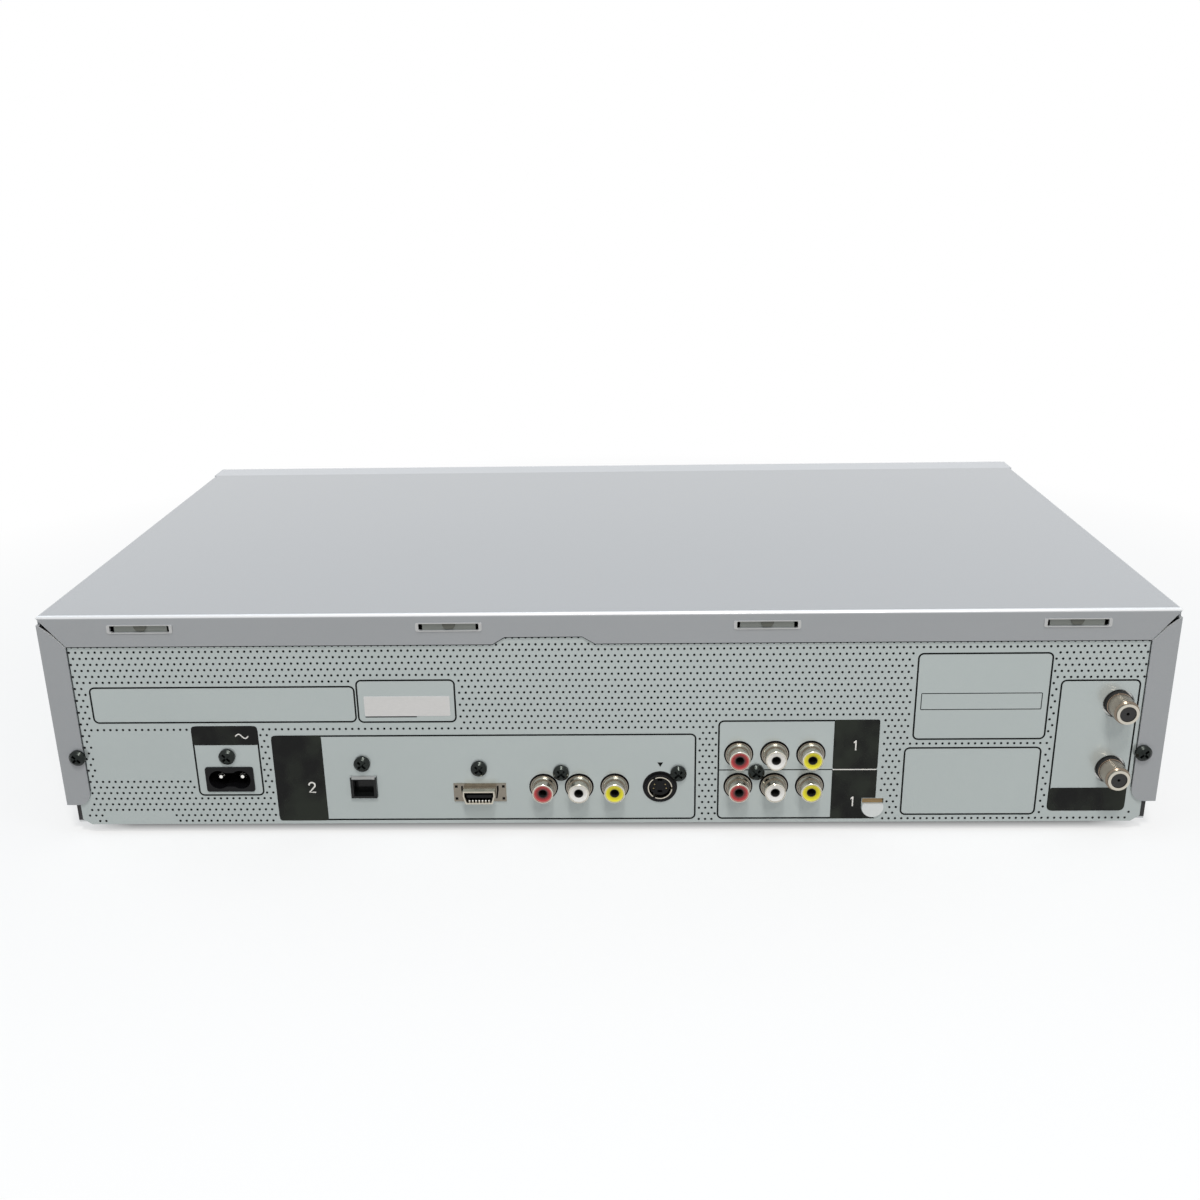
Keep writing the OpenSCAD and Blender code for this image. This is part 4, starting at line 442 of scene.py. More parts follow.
def wound_core():
    """Transformer: dark ferrite above and below, yellow tape round the coil."""
    core = Finish("wound_core", (0.75, 0.6, 0.1), 0.4)
    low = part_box("transformer")[0].z / MM
    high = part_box("transformer")[1].z / MM
    level = core.axis("Z")
    ferrite = level.below(low + 4.2) + level.above(high - 3.2)
    wraps = core.noise(0.8, 1.0, core.stretched(0.05, 0.05, 1))
    tape = core.mix(wraps, (0.66, 0.5, 0.06), (0.82, 0.66, 0.14))
    dark = core.mix(core.noise(0.7), (0.03, 0.03, 0.035), (0.07, 0.07, 0.075))
    core.set("Base Color", core.mix(ferrite, tape, dark))
    core.set("Roughness", 0.35 + ferrite * 0.3)
    core.bump(wraps, 0.02)
    return core


def capacitor_sleeve():
    """Dark sleeve with a pale stripe, bare metal on the top."""
    sleeve = Finish("capacitor_sleeve", (0.03, 0.035, 0.08), 0.3)
    top = sleeve.facing("Z").above(0.6)
    stripe = sleeve.facing("X").below(-0.88) * (1 - top)
    flow = sleeve.noise(4)
    dark = sleeve.mix(flow, (0.02, 0.025, 0.06), (0.04, 0.045, 0.10))
    striped = sleeve.mix(stripe, dark, (0.55, 0.56, 0.6))
    sleeve.set("Base Color", sleeve.mix(top, striped, (0.7, 0.71, 0.72)))
    sleeve.set("Metallic", top)
    sleeve.set("Roughness", 0.25 + flow * 0.1)
    return sleeve


def smoked_window():
    """Polished dark window with a faint mask behind it."""
    window = Finish("smoked_window", (0.006, 0.007, 0.01), 0.05, specular_ior_level=0.25)
    veil = window.noise(30, 1.0)
    window.set("Base Color", window.mix(veil, (0.004, 0.005, 0.008), (0.012, 0.013, 0.017)))
    window.set("Roughness", 0.04 + window.noise(8, 2.0) * 0.03)
    return window


def rubber():
    """Dull rubber with a little dust."""
    made = Finish("rubber", (0.028, 0.028, 0.03), 0.75)
    dust = made.noise(2.5, 4.0).spread(0.45, 0.8)
    made.set("Base Color", made.mix(dust * 0.35, (0.024, 0.024, 0.026), (0.12, 0.118, 0.11)))
    made.set("Roughness", 0.68 + dust * 0.2)
    made.bump(made.noise(0.4, 2.0), 0.015)
    return made


cover_paint = satin_paint("cover_paint", COVER_SILVER, 0.34, 0.22, REAR_EDGE + 0.1)
front_paint = satin_paint("front_paint", FRONT_SILVER, 0.36, 0.2)
key_paint = satin_paint("key_paint", shade(FRONT_SILVER, 1.05), 0.3, 0.25)
rear_silver = panel_silver()
dot_ink = ink("dot_ink", (0.006, 0.006, 0.007), 0.5)
frame_ink = ink("frame_ink", (0.004, 0.005, 0.005), 0.5)
white_ink = ink("white_ink", (0.93, 0.93, 0.91), 0.4)
legend_ink = ink("legend_ink", (0.05, 0.05, 0.055), 0.45)
red_ink = ink("red_ink", (0.55, 0.03, 0.03), 0.4)
black_label = label_black()
sticker_paper = paper()
sheet_zinc = zinc("sheet_zinc")
deck_zinc = zinc("deck_zinc", (0.58, 0.585, 0.6), 0.3)
arm_zinc = zinc("arm_zinc", (0.62, 0.58, 0.5), 0.32)
can_tin = zinc("can_tin", (0.6, 0.6, 0.58), 0.28)
black_zinc = zinc("black_zinc", (0.024, 0.028, 0.026), 0.2)
shell_nickel = nickel("shell_nickel", seams=(REAR_FACE + 0.7, REAR_FACE + 2.4))
shield_nickel = nickel("shield_nickel", (0.56, 0.52, 0.44), 0.2, (REAR_FACE + 0.5,))
pin_nickel = nickel("pin_nickel", (0.9, 0.88, 0.84), 0.15)
contact_brass = nickel("contact_brass", (0.4, 0.32, 0.18), 0.25)
board_tan = moulding("board_tan", (0.46, 0.3, 0.14), 0.5, 0.5, 0.01)
lamp_red = moulding("lamp_red", (0.25, 0.01, 0.01), 0.15, 2, 0.001)
barrel_nickel = threaded_nickel()
drum_aluminium = turned_aluminium()
frame_black = moulding("frame_black", BLACK, 0.55)
block_black = moulding(
    "block_black", (0.005, 0.005, 0.006), 0.28, 0.3, 0.003, specular_ior_level=0.18
)
optical_black = optical_moulding()
inlet_black = moulding(
    "inlet_black", (0.005, 0.005, 0.006), 0.2, 0.8, 0.003, specular_ior_level=0.18
)
# black for painted shade and painted shadows on the rear panel
painted_shade_black = moulding("painted_shade_black", (0.004, 0.004, 0.004), 0.7, specular_ior_level=0.05)
loader_black = moulding("loader_black", (0.03, 0.03, 0.032), 0.5)
tray_black = moulding("tray_black", (0.026, 0.026, 0.029), 0.42, 0.35, 0.01)
reel_grey = moulding("reel_grey", (0.42, 0.42, 0.43), 0.42)
deck_grey = moulding("deck_grey", (0.16, 0.16, 0.17), 0.5)
gear_ivory = moulding("gear_ivory", (0.78, 0.74, 0.62), 0.35, 0.6, 0.004)
rotor_grey = moulding("rotor_grey", (0.08, 0.08, 0.085), 0.4)
insert_red = jack_colour("insert_red", (0.52, 0.03, 0.035), 0, 0.3, (0.66, 0.3, 0.28))
insert_white = jack_colour("insert_white", (0.93, 0.93, 0.92), 1, 0.88, (0.9, 0.9, 0.88))
insert_yellow = jack_colour("insert_yellow", (0.9, 0.82, 0.01), 2, 0.7, (0.9, 0.88, 0.3))
main_circuit = circuit("main_circuit", (0.02, 0.10, 0.045), (0.7, 0.7, 0.68))
paper_circuit = circuit("paper_circuit", (0.33, 0.22, 0.10), (0.68, 0.68, 0.66))
coil_and_core = wound_core()
sleeve_blue = capacitor_sleeve()
dark_window = smoked_window()
foot_rubber = rubber()

node_finishes = {
    cover_paint: ["top_cover"],
    front_paint: ["front_panel", "cassette_flap", "tray_bezel", "jack_door"],
    key_paint: [
        "power_button", "eject_button", "open_close_button", "play_button",
        "stop_button", "record_button", "wind_rocker", "channel_rocker",
    ],
    rear_silver: ["rear_panel"],
    sheet_zinc: ["bottom_plate", "lift_frame", "clamp_bridge", "tray_motor"],
    deck_zinc: ["deck_plate", "holder_carriage", "cassette_holder"],
    arm_zinc: ["pinch_arm", "capstan", "tape_heads"],
    can_tin: ["tuner_can"],
    black_zinc: ["rear_screws"],
    shell_nickel: ["rca_shells"],
    shield_nickel: ["svideo_shield", "d_terminal_shell"],
    pin_nickel: ["ac_pins"],
    barrel_nickel: ["f_connectors"],
    drum_aluminium: ["lower_drum", "upper_drum"],
    frame_black: ["main_frame"],
    block_black: ["jack_blocks"],
    optical_black: ["optical_jack", "optical_shutter"],
    inlet_black: ["ac_inlet"],
    loader_black: ["loader_frame"],
    tray_black: ["disc_tray", "clamp_puck"],
    reel_grey: ["supply_reel", "takeup_reel"],
    deck_grey: ["traverse_deck", "pickup_sled"],
    gear_ivory: ["cam_gear", "drive_gear", "motor_pinion"],
    rotor_grey: ["turntable"],
    foot_rubber: ["feet", "pinch_roller"],
    insert_red: ["rca_red_rings"],
    insert_white: ["rca_white_rings"],
    insert_yellow: ["rca_yellow_rings"],
    main_circuit: ["main_board"],
    paper_circuit: ["power_board", "front_board"],
    coil_and_core: ["transformer"],
    sleeve_blue: ["capacitors"],
    dark_window: ["display_window"],
}
for finish, names in node_finishes.items():
    for name in names:
        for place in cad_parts[name].material_slots:
            place.material = finish.material


# --- flat outlines, x and z in mm -------------------------------------------


def rounded_box(x0, x1, z0, z1, radius, steps=5):
    """Corners of a box with round corners, counter-clockwise seen from -Y."""
    points = []
    corners = (
        (x1 - radius, z0 + radius, -90),
        (x1 - radius, z1 - radius, 0),
        (x0 + radius, z1 - radius, 90),
        (x0 + radius, z0 + radius, 180),
    )
    for x, z, start in corners:
        for step in range(steps + 1):
            angle = math.radians(start + 90 * step / steps)
            points.append((x + radius * math.cos(angle), z + radius * math.sin(angle)))
    return points


def disc(x, z, radius, sides=8):
    turn = 2 * math.pi / sides
    return [
        (x + radius * math.cos(turn * i), z + radius * math.sin(turn * i))
        for i in range(sides)
    ]


def stroke(points, width):
    """Outline of a pen line along points; its sides are mitred."""
    left, right = [], []
    for i, (x, z) in enumerate(points):
        x0, z0 = points[max(i - 1, 0)]
        x1, z1 = points[min(i + 1, len(points) - 1)]
        run = math.hypot(x1 - x0, z1 - z0)
        side_x, side_z = -(z1 - z0) / run * width / 2, (x1 - x0) / run * width / 2
        left.append((x + side_x, z + side_z))
        right.append((x - side_x, z - side_z))
    return left + right[::-1]


class Print:
    """Closed flat shapes on one face of the part, gathered into one piece."""

    def __init__(self, face, thickness, outward):
        self.low = face
        self.high = face + thickness * outward
        self.corners = []
        self.faces = []

    def slab(self, outline):
        """A shape filled right across."""
        first, count = len(self.corners), len(outline)
        self.corners += [(x, self.low, z) for x, z in outline]
        self.corners += [(x, self.high, z) for x, z in outline]
        self.faces.append([first + i for i in range(count)])
        self.faces.append([first + count + i for i in reversed(range(count))])
        self.walls(first, first + count, count)

    def band(self, outer, inner):
        """The band between two outlines with as many corners each."""
        count = len(outer)
        starts = []
        for outline in (outer, inner):
            for y in (self.low, self.high):
                starts.append(len(self.corners))
                self.corners += [(x, y, z) for x, z in outline]
        outer_low, outer_high, inner_low, inner_high = starts
        self.walls(outer_low, outer_high, count)
        self.walls(inner_high, inner_low, count)
        self.walls(inner_low, outer_low, count)
        self.walls(outer_high, inner_high, count)

    def walls(self, lower, upper, count):
        for i in range(count):
            j = (i + 1) % count
            self.faces.append([lower + i, upper + i, upper + j, lower + j])

    def frame(self, x0, x1, z0, z1, line, radius):
        half = line / 2
        self.band(
            rounded_box(x0 - half, x1 + half, z0 - half, z1 + half, radius + half),
            rounded_box(x0 + half, x1 - half, z0 + half, z1 - half, radius - half),
        )

    def piece(self, name, finish, body):
        mesh = bpy.data.meshes.new(name)
        mesh.from_pydata([Vector(c) * MM for c in self.corners], [], self.faces)
        shape = bmesh.new()
        shape.from_mesh(mesh)
        bmesh.ops.recalc_face_normals(shape, faces=shape.faces)
        shape.to_mesh(mesh)
        shape.free()
        mesh.materials.append(finish.material)
        made = bpy.data.objects.new(name, mesh)
        bpy.context.scene.collection.objects.link(made)
        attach(made, body)
        return made


# --- print on the rear panel ------------------------------------------------

PRINT_THICK = 0.05
LINE = 0.66  # width of the frames' lines
FRAME_RADIUS = 1.9
DOT_PITCH = 2.5
DOT_ROW = 2.51
DOT_RADIUS = 0.5
DOT_START = (19.44, 63.7)  # the dot from which rows and columns are counted
DOT_ROWS = range(-24, 9)
DOT_COLUMNS = range(-95, 82)
GROUND_FOOT = 5.4  # z, lower edge of the dotted ground
GROUND_SIDE = 207  # x, side edge of the dotted ground

# frames and labels: x0, x1, z0, z1
NOTICE_LEFT = (96.3, 198.9, 49.2, 64.0)
NOTICE_STICKER = (57.5, 95.25, 49.0, 66.5)
MAINS_BOX = (135.7, 161.25, 17.5, 47.3)
DISC_LABEL = (110.8, 130.2, 5.5, 42.9)
DISC_SECTION = (-35.2, 130.2, 6.3, 43.1)
SIX_BOX = (-105.8, -44.2, 6.3, 48.6)
SIX_LABEL = (-106.1, -88.6, 5.97, 48.8)
RATING_BOX = (-169.3, -119.0, 40.5, 76.1)
RATING_LINE = (-166.8, -121.1, 53.0, 59.7)
NOTICE_RIGHT = (-168.6, -116.25, 7.75, 36.75)
ANTENNA_BOX = (-203.2, -173.6, 9.4, 64.8)
STICKER = (59.6, 92.75, 51.5, 59.8)
TONGUE = (-109.4, -100.8, 7.2, 15.0)
BOARD_EDGE = (-109.2, -101.0, 12.3, 14.9)
LINE_UNDER_STICKER = (72.6, 92.6, 50.95, 51.35)
TEXT_LEFT = (162.2, 200.4, 24.6, 44.6)
TEXT_FOOT = (173.4, 198.7, 6.6, 9.6)
SIX_MIDDLE = 27.6  # z, line between the two rows of the six jacks
MAINS_HEADER = 39.4  # z, lower edge of the black field over the mains inlet
ANTENNA_HEADER = 19.2  # z, upper edge of the black field under the antenna connectors
TONGUE_END = (-105.1, 11.1)  # middle of the tongue's round end
TONGUE_CLEAR = 4.4  # radius that the label keeps free round it

bare_areas = [
    NOTICE_LEFT, NOTICE_STICKER, MAINS_BOX, DISC_SECTION, SIX_BOX, RATING_BOX,
    NOTICE_RIGHT, ANTENNA_BOX, TEXT_LEFT, TEXT_FOOT, TONGUE,
]


def on_bare_panel(x, z):
    """Whether a dot at this place lies on the dotted ground."""
    margin = DOT_RADIUS + 0.55
    for x0, x1, z0, z1 in bare_areas:
        if x0 - margin < x < x1 + margin and z0 - margin < z < z1 + margin:
            return False
    beside_flange = abs(x) > SIDE_FLANGE - 0.5 and z > 12.5
    beside_antennas = x < -202.5 and 9 < z < 66
    if beside_flange or beside_antennas:
        return False
    in_notch = 6.5 < x < 38.8
    return z < 84.0 if in_notch else z < FLANGE_EDGE


def dots():
    """The staggered dots of the ground, whose lower corners are cut off.
    The highest row lies in the notch alone; the one below it ends under the flange."""
    ground = Print(REAR_FACE, PRINT_THICK, 1)
    for row in DOT_ROWS:
        highest = TOP if row == DOT_ROWS[-1] else FLANGE_EDGE - 0.45
        z = min(DOT_START[1] + row * DOT_ROW, highest)
        side = GROUND_SIDE + min(0, z - 8)
        shift = DOT_PITCH / 2 * (row % 2)
        for column in DOT_COLUMNS:
            x = DOT_START[0] + shift + column * DOT_PITCH
            if z > GROUND_FOOT and abs(x) < side and on_bare_panel(x, z):
                ground.slab(disc(x, z, DOT_RADIUS))
    return ground.piece("panel_dots", dot_ink, "case")


def rule(x0, x1, z):
    """A thin level line."""
    return rounded_box(x0, x1, z - 0.2, z + 0.2, 0.05, 1)


def frames():
    """Black frames and thin lines; the pointer over the S-video socket."""
    lines = Print(REAR_FACE, PRINT_THICK, 1)
    closed = [
        NOTICE_LEFT, NOTICE_STICKER, MAINS_BOX, DISC_SECTION, RATING_BOX, NOTICE_RIGHT,
        ANTENNA_BOX,
    ]
    for box in closed:
        lines.frame(*box, LINE, FRAME_RADIUS)
    # the field beside the six jacks closes their frame
    x0, x1, z0, z1 = SIX_BOX
    right_half = rounded_box(x0, x1, z0, z1, FRAME_RADIUS)[:12]
    end = SIX_LABEL[1] - 0.2
    lines.slab(stroke([(end, z0), *right_half, (end, z1)], LINE))
    lines.frame(*RATING_LINE, 0.3, 0.3)
    lines.slab(rule(-88.7, x1, SIX_MIDDLE))
    # pointer above the S-video socket
    lines.slab([(-22.6, 31.0), (-21.5, 29.1), (-20.4, 31.0)])
    # a thin dark line under the sticker
    lines.slab(rounded_box(*LINE_UNDER_STICKER, 0.05, 1))
    return lines.piece("panel_frames", frame_ink, "case")


def labels():
    """Black fields; the one beside the six jacks stops round the lanced tongue."""
    fields = Print(REAR_FACE, PRINT_THICK * 1.4, 1)
    x0, x1, z0, z1 = MAINS_BOX
    fields.slab(rounded_box(x0 - 0.2, x1 + 0.2, MAINS_HEADER, z1 + 0.2, 1.2))
    x0, x1, z0, z1 = DISC_LABEL
    fields.slab(rounded_box(x0, x1 + 0.2, z0 + 0.4, z1 + 0.4, 1.2))
    x0, x1, z0, z1 = SIX_LABEL
    fields.slab(rounded_box(x0, x1, SIX_MIDDLE + 0.22, z1 + 0.13, 0.8))
    x, z = TONGUE_END
    turns = [math.radians(90 - 12 * i) for i in range(10)]
    around = [(x + TONGUE_CLEAR * math.sin(a), z - TONGUE_CLEAR * math.cos(a)) for a in turns]
    round_end = [corner for corner in around if corner[0] > x0]
    fields.slab([
        (x0, SIX_MIDDLE - 0.22), (x0, 15.1), (-100.7, 15.1), *round_end,
        (x0, z0), (x1, z0), (x1, SIX_MIDDLE - 0.22),
    ])
    x0, x1, z0, z1 = ANTENNA_BOX
    fields.slab(rounded_box(x0 - 0.2, x1 + 0.2, z0 - 0.2, ANTENNA_HEADER, 1.6))
    return fields.piece("panel_labels", black_label, "case")


def label_marks():
    """Plain marks on the black fields: a sine mark and the plain numbers 1 and 2."""
    marks = Print(REAR_FACE, PRINT_THICK * 2.4, 1)
    wave = [(144.3 - 5.0 * i / 16, 43.2 + 0.9 * math.sin(2 * math.pi * i / 16)) for i in range(17)]
    marks.slab(stroke(wave, 0.45))
    for x, z in ((-97.2, 38.0), (-97.2, 13.6)):
        marks.slab(one(x, z, 4.2))
    marks.slab(two(116.2, 20.6, 4.6))
    marks.slab(rule(-105.6, -88.8, SIX_MIDDLE))
    return marks.piece("label_marks", white_ink, "case")


def one(x, z, height):
    """The number 1, read from behind the part, middle at x, z."""
    w, h = height * 0.12, height / 2
    flag = height * 0.2
    return [
        (x - w / 2, z - h), (x + w / 2, z - h), (x + w / 2, z + h - flag * 0.9),
        (x + flag, z + h - flag * 1.5), (x + flag, z + h - flag * 0.8),
        (x + w * 0.3, z + h), (x - w / 2, z + h),
    ]


def two(x, z, height):
    """The number 2, read from behind the part, middle at x, z."""
    h = height / 2
    r = height * 0.26
    path = [(x + r, z + h - r * 1.05)]
    for step in range(1, 9):
        angle = math.radians(180 - 22.5 * step * 1.15)
        path.append((x - r * math.cos(angle), z + h - r + r * math.sin(angle)))
    path += [(x + r, z - h + 0.3), (x - r * 1.1, z - h + 0.3)]
    return stroke(path, height * 0.13)


def painted_shade():
    """Painted shade in the gap round each phono jack and in the holes of the terminal's plate;
    painted shadow lines beside the side flanges and under the flange.
    """
    dark = Print(REAR_FACE, PRINT_THICK * 1.6, 1)
    inner, outer = JACK_GAP
    rear_jacks = [(x + JACK_PITCH * step, z) for x, z in JACK_ROWS[:3] for step in (-1, 0, 1)]
    # painted shade in the gap round each phono jack
    for x, z in rear_jacks:
        dark.band(disc(x, z, outer, 32), disc(x, z, inner, 32))
    for side in (-1, 1):
        # painted shade in the holes at the corners of the terminal's plate
        for height in (-1, 1):
            x, z = TERMINAL[0] + side * 9.3, TERMINAL[1] + height * 2.65
            dark.slab(rounded_box(x - 0.6, x + 0.6, z - 0.6, z + 0.6, 0.1, 1))
        # painted shadow lines along the side flanges' inner edges
        x = side * SIDE_FLANGE
        dark.slab(rounded_box(x - 0.12, x + 0.12, 19.5, 80.7, 0.05, 1))
    # painted shadow line under the flange's lower edge, up round the notch
    low = FLANGE_EDGE - 0.2
    high = low + NOTCH_RISE
    rise, up, fall, down = NOTCH
    edge = [(-205.1, low), (rise, low), (up, high), (fall, high), (down, low), (205.1, low)]
    dark.slab(stroke(edge, 0.75))
    return dark.piece("panel_painted_shade", painted_shade_black, "case")


def terminal_shadows():
    """Painted shadows on the plate beside the D-shaped shell."""
    shadow_slabs = Print(REAR_FACE + 0.5, 0.04, 1)
    for side in (-1, 1):
        x, z = TERMINAL[0] + side * 7.05, TERMINAL[1]
        lean = -side * 0.55
        shadow_slabs.slab([
            (x - 0.3 + lean, z - 2.6), (x + 0.3 + lean, z - 2.6), (x + 0.35, z + 1.2),
            (x + 0.35, z + 2.9), (x - 0.35, z + 2.9), (x - 0.35, z + 1.2),
        ])
    return shadow_slabs.piece("terminal_shadows", painted_shade_black, "case")


def socket_contacts():
    """The four pins' contacts, set back in the S-video socket's holes."""
    pins = Print(REAR_FACE - 0.7, 0.4, 1)
    for x, z in ((-2.1, 0.85), (2.1, 0.85), (-2.5, -0.9), (2.5, -0.9)):
        pins.slab(disc(SVIDEO[0] + x, SVIDEO[1] + z, 0.24, 12))
    return pins.piece("svideo_contacts", contact_brass, "case")


def board_edge():
    """Edge of the circuit board that shows through the slot over the tongue."""
    board = Print(REAR_FACE - 1.9, 0.8, 1)
    board.slab(rounded_box(*BOARD_EDGE, 0.1, 1))
    return board.piece("board_edge", board_tan, "case")


def contact_teeth():
    """Seven short contacts at the foot of the D-shaped terminal's opening."""
    teeth = Print(REAR_FACE + 2.6, 1.6, 1)
    for step in range(-3, 4):
        x, z = TERMINAL[0] + 1.28 * step, TERMINAL[1] - 1.75
        teeth.slab(rounded_box(x - 0.3, x + 0.3, z - 0.35, z + 0.35, 0.08, 1))
    return teeth.piece("terminal_contacts", pin_nickel, "case")


def sticker():
    """The blank sticker."""
    made = Print(REAR_FACE, 0.1, 1)
    made.slab(rounded_box(*STICKER, 0.4))
    return made.piece("white_sticker", sticker_paper, "case")


dots()
frames()
labels()
label_marks()
painted_shade()
terminal_shadows()
socket_contacts()
board_edge()
contact_teeth()
sticker()


# --- legends on the front ---------------------------------------------------


def arrow(x, z, size, quarters):
    """Solid triangle; its point is turned from +X by so many quarter turns."""
    along, up = ((1, 0), (0, 1), (-1, 0), (0, -1))[quarters]
    corners = ((0.5, 0), (-0.5, 0.55), (-0.5, -0.55))
    return [(x + size * (a * along - b * up), z + size * (a * up + b * along)) for a, b in corners]


def eject_mark(x, z):
    """Triangle over a bar."""
    return [arrow(x, z + 0.5, 2.4, 1), rounded_box(x - 1.4, x + 1.4, z - 1.9, z - 1.3, 0.1, 1)]


def power_mark(x, z):
    """Open ring with a bar through the gap."""
    turns = [math.radians(125 + 290 * i / 20) for i in range(21)]
    ring = [(x + 1.7 * math.cos(t), z + 1.7 * math.sin(t)) for t in turns]
    return [stroke(ring, 0.4), rounded_box(x - 0.2, x + 0.2, z + 0.4, z + 2.4, 0.05, 1)]


def legend(name, face, outlines, body="case", finish=None):
    made = Print(face, PRINT_THICK, -1)
    for outline in outlines:
        made.slab(outline)
    return made.piece(name, finish or legend_ink, body)


def key_legend(body, outlines, finish=None):
    """A legend on the face of a key, in the middle of x and z unless moved."""
    low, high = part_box(body)
    x, z = (low.x + high.x) / 2 / MM, (low.z + high.z) / 2 / MM
    moved = [[(x + a, z + b) for a, b in outline] for outline in outlines]
    return legend(body + "_legend", low.y / MM, moved, body, finish)


def front_legends():
    """Plain symbols on the keys and beside them, and the standby lamp."""
    legend("power_legend", LOWER_FACE, power_mark(-188.5, 35.2))
    legend("eject_legend", UPPER_FACE, eject_mark(84, 53.2))
    legend("open_close_legend", UPPER_FACE, eject_mark(148, 53.2))
    key_legend("play_button", [arrow(0, 0, 3.2, 0)])
    key_legend("stop_button", [rounded_box(-1.4, 1.4, -1.4, 1.4, 0.15, 1)])
    key_legend("record_button", [disc(0, 0, 1.5, 20)], red_ink)
    rewind = [arrow(-22.3, 0, 2.3, 2), arrow(-20, 0, 2.3, 2)]
    forward = [arrow(20, 0, 2.3, 0), arrow(22.3, 0, 2.3, 0)]
    key_legend("wind_rocker", rewind + forward)
    key_legend("channel_rocker", [arrow(0, 8.6, 2.8, 1), arrow(0, -8.6, 2.8, 3)])
    lamp = Print(LOWER_FACE, 0.6, -1)
    lamp.slab(disc(-172.5, 26, 1.3, 24))
    lamp.piece("standby_lamp", lamp_red, "case")
    legend("door_legend", LOWER_FACE, [arrow(-124, 8.2, 2.0, 3)])


front_legends()


# --- camera, floor and lamps ------------------------------------------------

CAMERA_PLACE = (-9.97, 556.43, 254.63)  # mm
CAMERA_TURN = (-0.025, 0.341, -0.016)  # yaw from straight at the rear, pitch down and roll, radians
SENSOR_WIDTH = 36
FOCAL_LENGTH = 37.527

WHITE_FROM = 280  # mm from the middle where the floor starts to turn plain white
WHITE_AT = 560  # where it is plain white
FLOOR_BOUNCE = (0.47, 0.43, 0.375)  # the floor as the part sees it
WORLD_COLOUR = (0.91, 0.96, 1.0, 1)
WORLD_STRENGTH = 0.34
CASE_MIDDLE = (0, 0, 0.05)  # m
REAR_HALF = (0, 0.1, 0.05)


def add_camera():
    """Camera behind the part, a little above it."""
    place = Vector(CAMERA_PLACE) * MM
    yaw, pitch, roll = CAMERA_TURN
    level_share = math.cos(pitch)
    ahead = Vector((-math.sin(yaw) * level_share, -math.cos(yaw) * level_share, -math.sin(pitch)))
    level = ahead.cross(Vector((0, 0, 1))).normalized()
    upright = level.cross(ahead)
    right = level * math.cos(roll) + upright * math.sin(roll)
    up = upright * math.cos(roll) - level * math.sin(roll)
    lens = bpy.data.cameras.new("camera")
    lens.sensor_fit = "HORIZONTAL"
    lens.sensor_width = SENSOR_WIDTH
    lens.lens = FOCAL_LENGTH
    lens.clip_start = 0.01
    lens.clip_end = 50
    made = bpy.data.objects.new("camera", lens)
    turn = Matrix((right, up, -ahead)).transposed().to_4x4()
    made.matrix_world = Matrix.Translation(place) @ turn
    bpy.context.scene.collection.objects.link(made)
    bpy.context.scene.camera = made


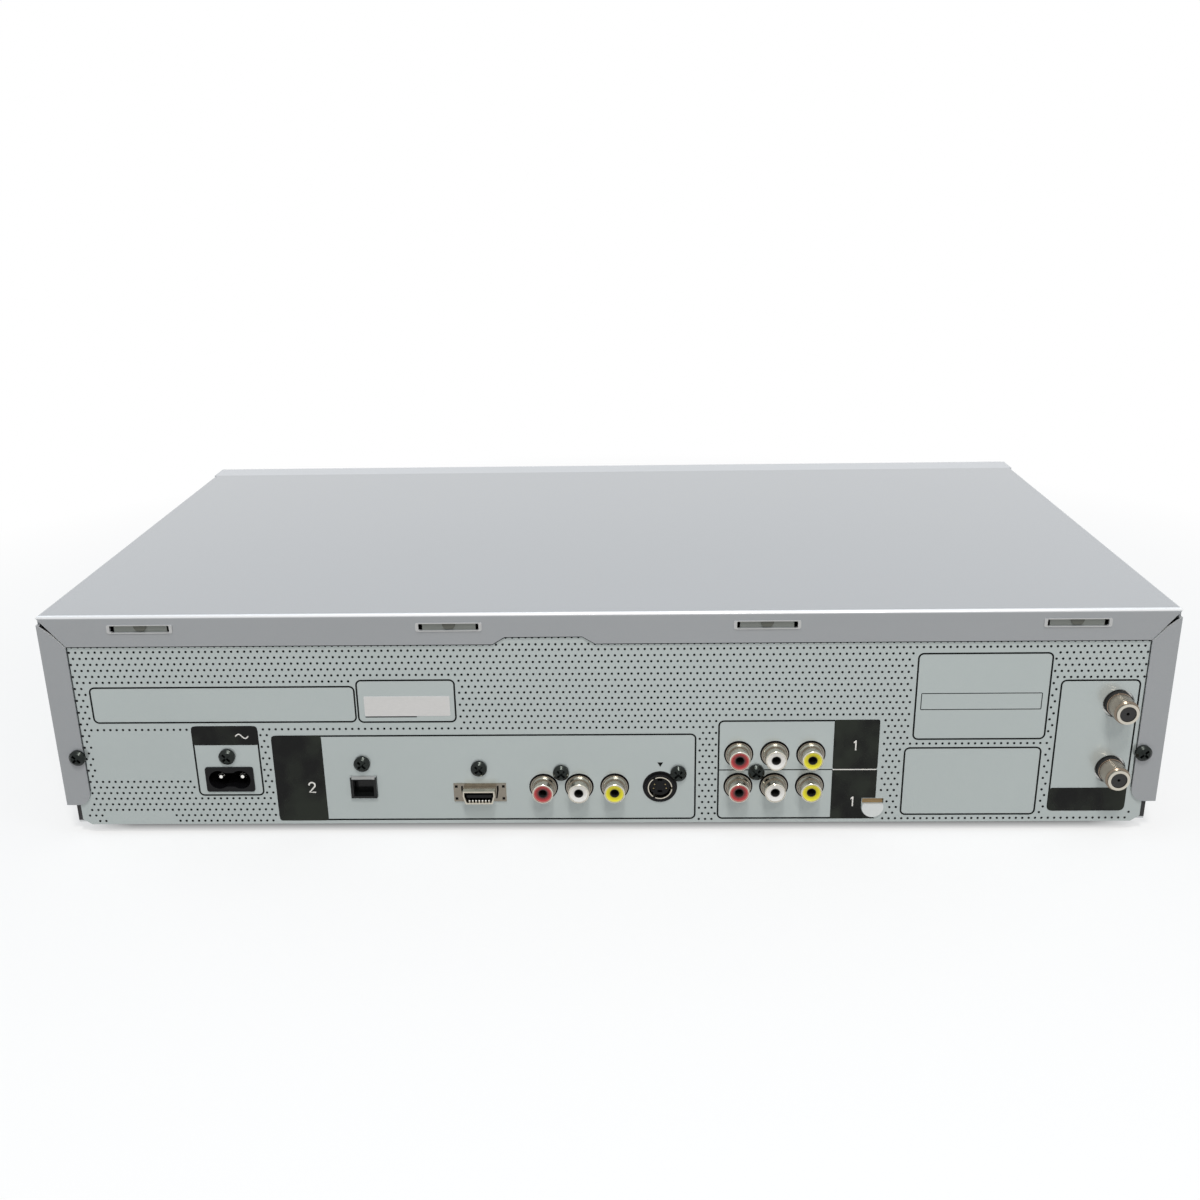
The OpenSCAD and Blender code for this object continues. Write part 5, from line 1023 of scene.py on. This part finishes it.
def add_floor():
    """A pale floor that keeps the shadow near the part and is plain white further off.
    Under the case it carries a dark painted shadow, with soft borders."""
    mesh = bpy.data.meshes.new("floor")
    reach = 12.0
    corners = [(-reach, -reach, 0), (reach, -reach, 0), (reach, reach, 0), (-reach, reach, 0)]
    mesh.from_pydata(corners, [], [(0, 1, 2, 3)])
    made = bpy.data.objects.new("floor", mesh)
    bpy.context.scene.collection.objects.link(made)
    floor = Finish("floor_white", (0.9, 0.9, 0.9), 0.9, specular_ior_level=0.0)
    seen = floor.background_rays()
    far = floor.vector("LENGTH", {0: floor.place}, "Value")
    across, along = floor.axis("X"), floor.axis("Y")
    # painted shadow on the floor under the case, with soft borders
    under = 1 - across.math("ABSOLUTE", across).spread(HALF_WIDTH - 22, HALF_WIDTH - 4)
    under = under * along.spread(LOWER_FACE + 2, LOWER_FACE + 16)
    under = under * (1 - along.spread(REAR_FACE - 10, REAR_FACE - 3))
    share = (0.6 + far.spread(WHITE_FROM, WHITE_AT) * 0.4) * seen * (1 - under)
    pale = floor.mix(under, (0.92, 0.92, 0.92), (0.18, 0.18, 0.18))
    floor.set("Base Color", floor.mix(seen, FLOOR_BOUNCE, pale))
    matte = Value(floor, floor.shader.outputs[0])
    bright = floor.node("ShaderNodeEmission", {}, {"Color": (1, 1, 1, 1), "Strength": 1.0})
    blend = floor.node("ShaderNodeMixShader", {}, {0: share, 1: matte, 2: bright})
    floor.put(floor.tree.nodes["Material Output"].inputs["Surface"], blend)
    mesh.materials.append(floor.material)


def add_world():
    """Soft light from all round; the background itself is plain white."""
    world = bpy.data.worlds.new("studio")
    bpy.context.scene.world = world
    world.use_nodes = True
    sky = NodeTree(world.node_tree)
    light = {"Color": WORLD_COLOUR, "Strength": WORLD_STRENGTH}
    base = sky.node("ShaderNodeBackground", {}, light)
    white = sky.node("ShaderNodeBackground", {}, {"Color": (1, 1, 1, 1), "Strength": 1.0})
    blend = sky.node("ShaderNodeMixShader", {}, {0: sky.background_rays(), 1: base, 2: white})
    sky.put(sky.tree.nodes["World Output"].inputs["Surface"], blend)


def add_lamp(name, place, aim, size, power, colour):
    """A soft lamp: place, aim and size in metres, power in watts."""
    lamp = bpy.data.lights.new(name, "AREA")
    lamp.shape = "RECTANGLE"
    lamp.size, lamp.size_y = size
    lamp.energy = power
    lamp.color = colour
    made = bpy.data.objects.new(name, lamp)
    made.location = place
    made.rotation_mode = "QUATERNION"
    made.rotation_quaternion = (Vector(aim) - Vector(place)).to_track_quat("-Z", "Y")
    bpy.context.scene.collection.objects.link(made)


def add_lamps():
    """A cool strip overhead, a cool fill on each side of the front, two small warm lamps behind."""
    add_lamp("overhead", (0.05, 0.35, 1.6), (0, 0.05, 0.05), (2.2, 0.3), 5.0, (0.7, 0.85, 1.0))
    for name, side in (("front_fill_1", -1), ("front_fill_3", 1)):
        place = (1.5 * side, -0.7, 0.9)
        add_lamp(name, place, CASE_MIDDLE, (0.9, 0.6), 3.0, (0.86, 0.94, 1.0))
    small = (0.22, 0.22)
    add_lamp("behind_high", (-0.04, 0.90, 1.44), REAR_HALF, small, 11.5, (1.0, 0.97, 0.93))
    add_lamp("behind_low", (-0.318, 1.205, 1.218), REAR_HALF, small, 4.8, (1.0, 0.95, 0.89))


add_camera()
add_floor()
add_world()
add_lamps()
bpy.context.scene.view_settings.view_transform = "Standard"
